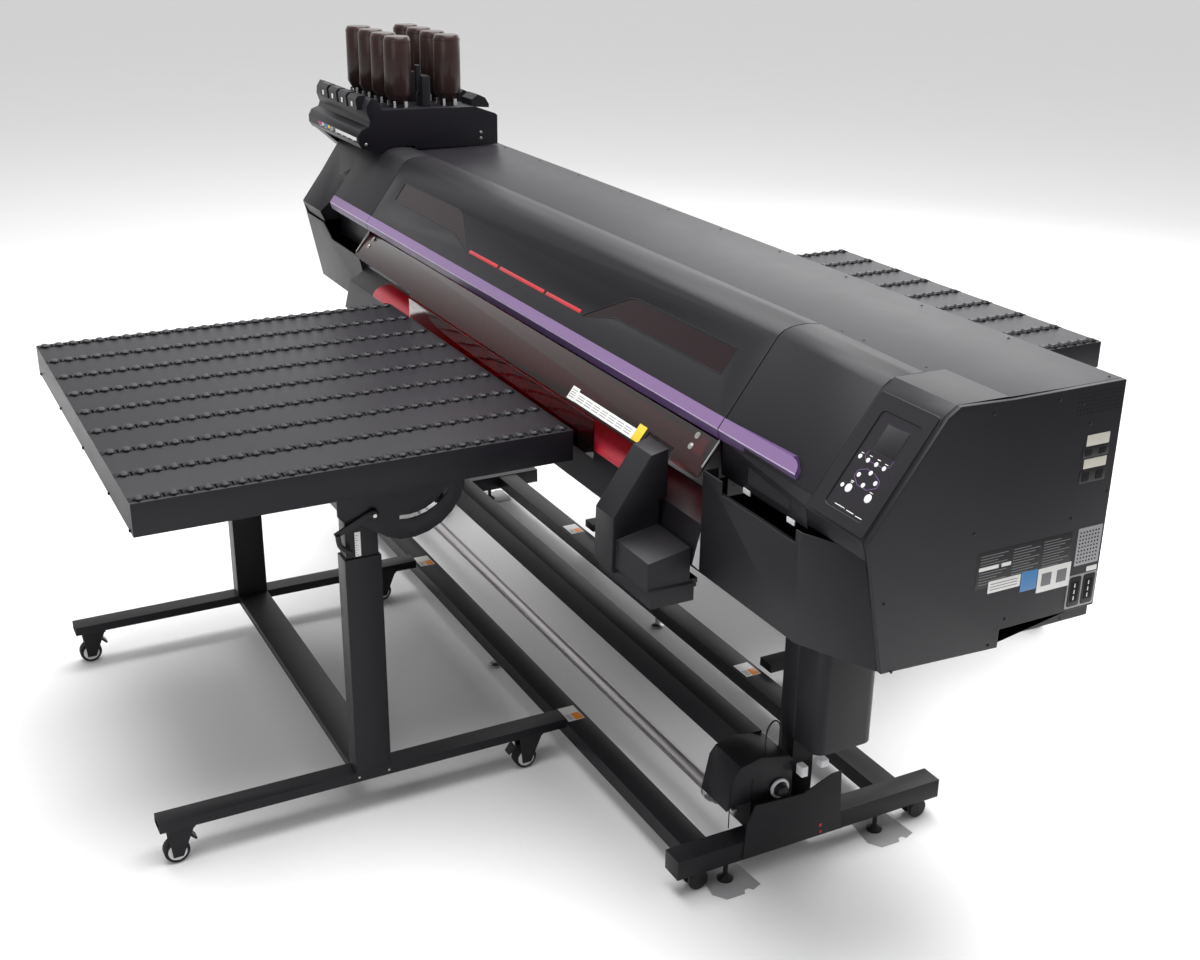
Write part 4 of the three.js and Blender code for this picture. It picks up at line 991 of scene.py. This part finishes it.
class PRINTER_OT_table_fittings(bpy.types.Operator):
    """Add bolts, levers, caps, labels, wheel rims and brake pedals to both tables"""

    bl_idname = "printer.table_fittings"
    bl_label = "Table fittings"

    def execute(self, context):
        rubber = tyre_rubber()
        for name, side in (("front", -1), ("rear", 1)):
            self.tray(name, side)
            self.base(name, side)
            for place in ("outer", "inner"):
                for hand in ("left", "right"):
                    node = f"{name}_table_wheel_{place}_{hand}"
                    softened(node, 0.0015, rubber)
                    self.wheel(node, side, 1352.0 if place == "outer" else 438.0,
                               578.0 if hand == "right" else -518.0)
        return {"FINISHED"}

    def wheel(self, node, side, along, x):
        rim = [(6.0, -16.7), (21.5, -16.7), (22.5, -16.2), (22.5, -15.6), (6.0, -15.6)]
        hub = [(0, -17.4), (4.5, -17.4), (6.4, -16.4), (6.4, -15.6), (0, -15.6)]
        shells = []
        for way in (1, -1):
            shells.append((turned(rim, (x, side * along, 31), (way, 0, 0), 28), 0))
            shells.append((turned(hub, (x, side * along, 31), (way, 0, 0), 18), 1))
        piece(node + "_rims", shells, [white_plastic(), zinc_steel()], node + "_body")

    def tray(self, name, side):
        body = f"{name}_table_tray_body"
        bolts = []
        for x, way in ((606.0, 1), (-546.0, -1)):
            for y, z in ((746, 912), (700, 884), (800, 890), (860, 872)):
                bolts.append((screw((x, side * y, z), (way, 0, 0), 6.0, 3.2), 0))
        piece(f"{name}_arc_bolts", bolts, [black_plastic()], body)
        knobs = [(mirrored(screw((x, -TABLE_OUTER, 888), (0, -1, 0), 4.0, 4.0), side), 0)
                 for x in (-560, -240, 80, 400, 630)]
        piece(f"{name}_tray_studs", knobs, [black_plastic()], body)

    def base(self, name, side):
        body, lift = f"{name}_table_base_body", f"{name}_table_lift_body"
        caps, screws = [], []
        for x in (TABLE_X + BAR_X, TABLE_X - BAR_X):
            # Caps over both open ends of the long bars, and a pedal over each wheel.
            for y0, y1 in ((-1390.0, -1388.4), (-325.6, -324.0)):
                caps.append((mirrored(block(x - 25, x + 25, y0, y1, 101.5, 123.5, 0.3), side), 0))
            for y in WHEEL_PLACES:
                way = -1 if y < 1000 else 1
                pedal = [(-y + way * a, z) for a, z in ((30, 66), (46, 50), (50, 53), (36, 72), (30, 74))]
                caps.append((mirrored(along_x(pedal, (x - 12, x + 12)), side), 0))
            outer = math.copysign(28, x)
            screws += [(mirrored(screw((x + outer, y, 113), (math.copysign(1, x), 0, 0), 3.0, 1.4), side),
                        0)
                       for y in (-900, -822)]
            caps.append((mirrored(block(x - 23, x + 23, -904, -902, 704, 709, 0.6), side), 0))
        piece(f"{name}_base_caps", caps, [black_plastic()], body)
        piece(f"{name}_base_screws", screws, [zinc_steel()], body)
        # Height scale, lever and its pivot on the right-hand inner post.
        x = 600.2
        labels = [(mirrored(plate([(-878, 710), (-864, 710), (-864, 772), (-878, 772)], (0, 0, 0),
                                  (0, 1, 0), (0, 0, 1),
                                  x, x + 0.4), side), 0)]
        for i in range(9):
            z = 714 + i * 6.2
            tick = [(-877, z), (-870 - 3 * (i % 2), z), (-870 - 3 * (i % 2), z + 0.9), (-877, z + 0.9)]
            labels.append((mirrored(plate(tick, (0, 0, 0), (0, 1, 0), (0, 0, 1), x + 0.4, x + 0.5), side),
                           1))
        piece(f"{name}_height_scale", labels, [label_white(), deep_black()], lift)
        arm = [(-826, 822), (-838, 826), (-930, 782), (-926, 770), (-834, 806)]
        grip = tube([(x + 12, -922, 778), (x + 12, -918, 752), (x + 12, -905, 738), (x + 12, -892, 730)],
                    6.5, 12, 5)
        pivot = turned([(0, 0), (13, 0), (13, 7), (9, 11), (0, 11)], (x + 6.5, -833, 814), (1, 0, 0), 22)
        nut = turned([(0, 10), (5, 10), (5, 15), (0, 15)], (x + 6.5, -833, 814), (1, 0, 0), 6)
        lever = [(mirrored(plate(arm, (0, 0, 0), (0, 1, 0), (0, 0, 1), x + 7, x + 12, 0.6), side), 0),
                 (mirrored(grip, side), 0), (mirrored(pivot, side), 0), (mirrored(nut, side), 1)]
        piece(f"{name}_height_lever", lever, [black_plastic(), zinc_steel()], lift)


class PRINTER_OT_stand_fittings(bpy.types.Operator):
    """Finish the feet, casters and stand: plates, bolts, dots and labels"""

    bl_idname = "printer.stand_fittings"
    bl_label = "Stand fittings"

    def execute(self, context):
        for end in ("front", "rear"):
            for hand in ("left", "right"):
                softened(f"levelling_foot_{end}_{hand}", 0.0005, black_plastic())
                softened(f"stand_caster_{end}_{hand}", 0.0014, black_plastic())
        plates, dots, labels = [], [], []
        outer_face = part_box("stand_leg_right")[1][0] / MM
        for way in (1, -1):
            for y0, y1 in ((-278, -155), (170, 296)):
                a, b = STAND_X + way * 1136, STAND_X + way * 1252
                outline = [(a, y0 + 14), (b - way * 30, y0), (b, y0 + 22), (b, y1 - 52),
                           (b - way * 12, y1 - 46),
                           (b - way * 14, y1 - 34), (b - way * 4, y1 - 26), (b - way * 14, y1), (a, y1 - 8)]
                plates.append((plate(outline, (0, 0, 0), (1, 0, 0), (0, 1, 0), 0.1, 1.6, 0.3), 0))
            for y, z, r in ((34, 85, 4.6), (36, 66, 4.0)):
                dots.append((screw((STAND_X + way * (outer_face - STAND_X), y, z), (way, 0, 0), r, 1.0), 0))
        for y, xs in ((-284.0, (-526.0, 548.0)), (274.0, (-542.0, 557.0))):
            for x in xs:
                labels.append((block(x - 34, x + 38, y - 24, y + 24, 101.1, 101.5, 0.1), 0))
                labels.append((block(x + 2, x + 36, y - 2, y + 22, 101.5, 101.7, 0.1), 1))
                labels += [(block(x + 4, x + 32, y + d, y + d + 2, 101.5, 101.65, 0.05),
                            2) for d in (-18, -13, -8)]
        grey = handled("Grey print", (0.17, 0.17, 0.18), 0.5, 500.0, 0.02, 0.0)
        piece("floor_plates", plates, [pale_grey()], "printer")
        piece("leg_red_plugs", dots, [handled("Plug red", (0.62, 0.02, 0.02), 0.4)], "printer")
        piece("docking_labels", labels, [label_white(), label_orange(), grey], "printer")
        foot = [(0, 0.2), (19, 0.2), (20, 3), (19, 6), (8, 11), (7.2, 14), (7.2, 59), (0, 59)]
        jacks = [(turned(foot, (STAND_X, y, 0), (0, 0, 1), 24), 0) for y in (-284.0, 274.0)]
        piece("beam_jacks", jacks, [zinc_steel()], "printer")
        return {"FINISHED"}


class PRINTER_OT_take_up(bpy.types.Operator):
    """Finish the take-up: tube, rings, cable, connectors and slots"""

    bl_idname = "printer.take_up"
    bl_label = "Take-up"

    def execute(self, context):
        softened("take_up_tube", 0.0006, brushed("Tube metal", (0.66, 0.63, 0.65), 0.42, 0.3))
        softened("sensor_lead", 0.0002, handled("Lead jacket", (0.012, 0.012, 0.013), 0.5, 1600.0, 0.05,
                                                0.02))
        rings = [(turned([(20.5, 0), (27, 0), (27, 2.4), (20.5, 2.4)], (1103, -180, 157), (-1, 0, 0), 32),
                  0)]
        knob = [(19.4, 4), (25, 4), (25, 9), (19.4, 9)]
        rings.append((turned(knob, (1220, -73, 205), (1, 0, 0), 30), 0))
        rings.append((block(1226, 1252, -30, -12, 236, 262, 2), 0))
        rings.append((block(1230, 1256, 22, 44, 250, 268, 2), 0))
        piece("take_up_connectors", rings, [white_plastic()], "printer")
        # Two near-black strips: painted shade for the grooves.
        grooves = [(end_bar(y, y + 3, 130, 250, 1220.0, 1220.4, 1), 0) for y in (-210, -150)]
        piece("take_up_grooves", grooves, [deep_black()], "printer")
        return {"FINISHED"}


class PRINTER_OT_ink_station(bpy.types.Operator):
    """Finish the ink bottles and the front, flaps and clamps of their station"""

    bl_idname = "printer.ink_station_fittings"
    bl_label = "Ink station"

    def execute(self, context):
        bottle = handled("Bottle plastic", tuple(colours().bottle), 0.30, 1200.0, 0.04, 0.04, 0.2, 0.1,
                         coat_weight=0.15)
        cap = black_plastic()
        for row, y in BOTTLE_YS.items():
            for i, x in enumerate(BOTTLE_XS, 1):
                softened(f"ink_bottle_{row}_{i}", 0.001, bottle)
                ring = [(24.5, 1451), (29, 1452), (29, 1461), (26, 1463), (24.5, 1463)]
                seam = [(46.05, 1668), (46.25, 1668.6), (46.25, 1671), (46.05, 1671.6), (45.6, 1671.6),
                        (45.6, 1668)]
                shells = [(turned(ring, (x, y, 0), (0, 0, 1), 28), 0),
                          (turned(seam, (x, y, 0), (0, 0, 1), 36), 1)]
                piece(f"bottle_collar_{row}_{i}", shells, [cap, bottle], f"ink_bottle_{row}_{i}_body")
        front = (0, -216.0, 0)

        def on_front(x0, x1, z0, z1, low, high, radius=1.0):
            return plate(box_outline(x0, x1, z0, z1, radius), front, (1, 0, 0), (0, 0, 1), low, high, 0.08)

        shells = [(on_front(-1616, -1198, 1352, 1370, 0.0, 0.3), 0),
                  (on_front(-1425, -1205, 1357, 1368, 0.3, 0.5), 1)]
        paints = [black_plastic(), label_white()]
        chips = [(0.50, 0.02, 0.20), (0.65, 0.65, 0.66), (0.02, 0.22, 0.50), (0.78, 0.58, 0.03),
                 (0.35, 0.35, 0.36)]
        for i, chip in enumerate(chips):
            paints.append(handled(f"Chip {i + 1}", chip, 0.4, 500.0, 0.02, 0.0))
            shells.append((on_front(-1610 + i * 34, -1584 + i * 34, 1357, 1368, 0.3, 0.5), i + 2))
        shells += [(on_front(x, x + 18, 1353.5, 1355.5, 0.3, 0.45, 0.3), 1) for x in np.arange(-1600, -1220,
                                                                                               58.0)]
        piece("station_label", shells, paints, "printer")
        flaps, marks, racks, clamps = [], [], [], []
        for i, x in enumerate(BOTTLE_XS):
            at = -1286 - 102.6 * i
            hood = [(-196, 1452), (-200, 1488), (-190, 1499), (-166, 1499), (-150, 1474), (-152, 1452)]
            flaps.append((along_x(hood, (at - 40, at + 40)), 0))
            marks.append((plate(box_outline(at - 8, at + 8, 1461, 1477, 1), (0, -199.2, 0), (1, 0, 0),
                                (0, 0, 1), 0.0, 0.8, 0.1), 0))
            lid = [(212, 1450), (212, 1470), (236, 1486), (262, 1474), (276, 1452), (276, 1440),
                   (212, 1446)]
            flaps.append((along_x(lid, (x - 44, x + 44)), 0))
            racks.append((block(x - 34, x + 34, 34, 66, 1452, 1556, 5), 0))
            racks.append((block(x - 12, x + 12, 22, 40, 1500, 1590, 4), 0))
            for y in BOTTLE_YS.values():
                clamps.append((block(x + 27, x + 34, y - 30, y - 22, 1452, 1476, 1), 0))
                clamps.append((block(x - 34, x - 27, y - 30, y - 22, 1452, 1472, 1), 0))
                clamps.append((block(x + 30, x + 36, y + 8, y + 20, 1452, 1474, 1), 0))
        piece("station_flaps", flaps, [cover_plastic()], "printer")
        piece("station_flap_marks", marks, [label_white()], "printer")
        piece("station_racks", racks, [black_plastic()], "printer")
        piece("station_clamps", clamps, [pale_grey()], "printer")
        studs = [(screw((-1185, y, z), (1, 0, 0), 5, 2), 0) for y,
                 z in ((230, 1362), (230, 1342), (-190, 1346))]
        piece("station_screws", studs, [zinc_steel()], "printer")
        return {"FINISHED"}


class PRINTER_OT_pod_fittings(bpy.types.Operator):
    """Add the tabs of the troughs and the bed's holes and pinch rollers"""

    bl_idname = "printer.pod_fittings"
    bl_label = "Pod, troughs and bed"

    def execute(self, context):
        tabs = [(block(x, x + 27, y - 3, y, z, z + 11, 0.6), 0) for x, y,
                z in ((1288, -261.5, 1020), (1464, -273.5, 1026))]
        piece("trough_tabs", tabs, [white_plastic()], "printer")
        # Near-black discs on the bed: painted shade for its holes.
        holes = []
        for y in (-190, -150, -110, -70, 90, 130, 170, 210):
            holes += [(turned([(0, 0), (2.2, 0), (2.2, 0.25), (0, 0.25)], (x, y, 968), (0, 0, 1), 8), 0)
                      for x in np.arange(-1060, 1160, 40.0)]
        piece("bed_holes", holes, [deep_black()], "printer")
        pinch = []
        for x in np.arange(-980, 1060, 120.0):
            pinch.append((turned([(0, -30), (9, -30), (9.5, -28), (9.5, 28), (9, 30), (0, 30)], (x, 0, 979),
                                 (1, 0, 0), 18), 0))
            pinch.append((block(x - 18, x + 18, 20, 96, 972, 992, 1.6), 1))
        piece("pinch_rollers", pinch, [tyre_rubber(), black_plastic()], "printer")
        return {"FINISHED"}


class PRINTER_OT_stage(bpy.types.Operator):
    """Make the floor, the world, the lights and the camera"""

    bl_idname = "printer.stage"
    bl_label = "Stage"

    def execute(self, context):
        scene = context.scene
        self.floor()
        self.lights()
        world = bpy.data.worlds.new("Pale room")
        scene.world = world
        world.use_nodes = True
        tree = world.node_tree
        tree.nodes.clear()
        out = tree.nodes.new("ShaderNodeOutputWorld")
        seen, cast = tree.nodes.new("ShaderNodeBackground"), tree.nodes.new("ShaderNodeBackground")
        seen.inputs["Color"].default_value = (1, 1, 1, 1)
        seen.inputs["Strength"].default_value = 1.0
        cast.inputs["Color"].default_value = (1, 1, 1, 1)
        mix, path = tree.nodes.new("ShaderNodeMixShader"), tree.nodes.new("ShaderNodeLightPath")
        # The room is bright overhead and behind, and dim round the camera's side.
        way = tree.nodes.new("ShaderNodeTexCoord").outputs["Generated"]
        tilt = tree.nodes.new("ShaderNodeVectorMath")
        tilt.operation = "DOT_PRODUCT"
        tilt.inputs[1].default_value = (-0.65, 0.45, 0.60)
        tree.links.new(way, tilt.inputs[0])
        ramp = tree.nodes.new("ShaderNodeMapRange")
        ramp.inputs["From Min"].default_value = -0.2
        ramp.inputs["From Max"].default_value = 0.9
        ramp.inputs["To Min"].default_value = 0.10
        ramp.inputs["To Max"].default_value = 1.10
        tree.links.new(tilt.outputs["Value"], ramp.inputs["Value"])
        tree.links.new(ramp.outputs[0], cast.inputs["Strength"])
        tree.links.new(path.outputs["Is Camera Ray"], mix.inputs[0])
        tree.links.new(cast.outputs[0], mix.inputs[1])
        tree.links.new(seen.outputs[0], mix.inputs[2])
        tree.links.new(mix.outputs[0], out.inputs[0])
        scene.view_settings.view_transform = "Standard"
        data = bpy.data.cameras.new("camera")
        data.lens, data.sensor_width = 44.79, 36.0
        data.clip_end = 100.0
        camera = bpy.data.objects.new("camera", data)
        scene.collection.objects.link(camera)
        a, e, roll = (math.radians(angle) for angle in (61.9465, 22.0911, 0.8252))
        back = np.array([math.sin(a) * math.cos(e), -math.cos(a) * math.cos(e), math.sin(e)])
        level = np.cross((0, 0, 1), back)
        level /= np.linalg.norm(level)
        right = math.cos(roll) * level + math.sin(roll) * np.cross(back, level)
        up = np.cross(back, right)
        turn = Matrix([[right[i], up[i], back[i]] for i in range(3)]).to_4x4()
        camera.matrix_world = Matrix.Translation((3.666, -1.866, 2.200)) @ turn
        scene.camera = camera
        return {"FINISHED"}

    def floor(self):
        mesh = bpy.data.meshes.new("floor")
        half = 60.0
        mesh.from_pydata([(-half, -half, 0), (half, -half, 0), (half, half, 0), (-half, half, 0)], [],
                         [(0, 1, 2, 3)])
        floor = bpy.data.objects.new("floor", mesh)
        bpy.context.scene.collection.objects.link(floor)
        mesh.materials.append(handled("Studio floor", (0.92, 0.92, 0.92), 0.7, 200.0, 0.02, 0.0, 0.02,
                                      0.02))

    def lights(self):
        for name, place, aim, size, power in (
                ("overhead", (0.0, 0.4, 5.6), (0, 0, 0.9), 6.0, 560.0),
                ("rear", (-3.6, 4.6, 3.6), (0, 0, 1.0), 4.5, 60.0),
                ("front", (3.0, -5.0, 3.6), (0, -0.3, 0.8), 4.0, 55.0)):
            light = bpy.data.lights.new(name, "AREA")
            light.shape, light.size, light.energy = "DISK", size, power
            made = bpy.data.objects.new(name, light)
            bpy.context.scene.collection.objects.link(made)
            made.location = place
            made.rotation_euler = (Vector(aim) - Vector(place)).to_track_quat("-Z", "Y").to_euler()


OPERATORS = (PRINTER_OT_covers, PRINTER_OT_frame_finish, PRINTER_OT_trims, PRINTER_OT_windows,
             PRINTER_OT_control_panel, PRINTER_OT_end_panels, PRINTER_OT_guide, PRINTER_OT_shield,
             PRINTER_OT_rollers, PRINTER_OT_table_fittings, PRINTER_OT_stand_fittings, PRINTER_OT_take_up,
             PRINTER_OT_ink_station, PRINTER_OT_pod_fittings, PRINTER_OT_stage)


class PRINTER_PT_sidebar(bpy.types.Panel):
    """Lists the operators and the settings"""

    bl_label = "Printer"
    bl_idname = "PRINTER_PT_sidebar"
    bl_space_type = "VIEW_3D"
    bl_region_type = "UI"
    bl_category = "Printer"

    def draw(self, context):
        for group in (context.scene.printer_sizes, context.scene.printer_colours):
            for name in group.__annotations__:
                self.layout.prop(group, name)
        for operator in OPERATORS:
            self.layout.operator(operator.bl_idname)


CLASSES = (PrinterSizes, PrinterColours, *OPERATORS, PRINTER_PT_sidebar)


def register():
    for cls in CLASSES:
        bpy.utils.register_class(cls)
    bpy.types.Scene.printer_sizes = PointerProperty(type=PrinterSizes)
    bpy.types.Scene.printer_colours = PointerProperty(type=PrinterColours)


def unregister():
    del bpy.types.Scene.printer_colours
    del bpy.types.Scene.printer_sizes
    for cls in reversed(CLASSES):
        bpy.utils.unregister_class(cls)


def main():
    register()
    for operator in OPERATORS:
        group, name = operator.bl_idname.split(".")
        getattr(getattr(bpy.ops, group), name)()


if __name__ == "__main__":
    main()
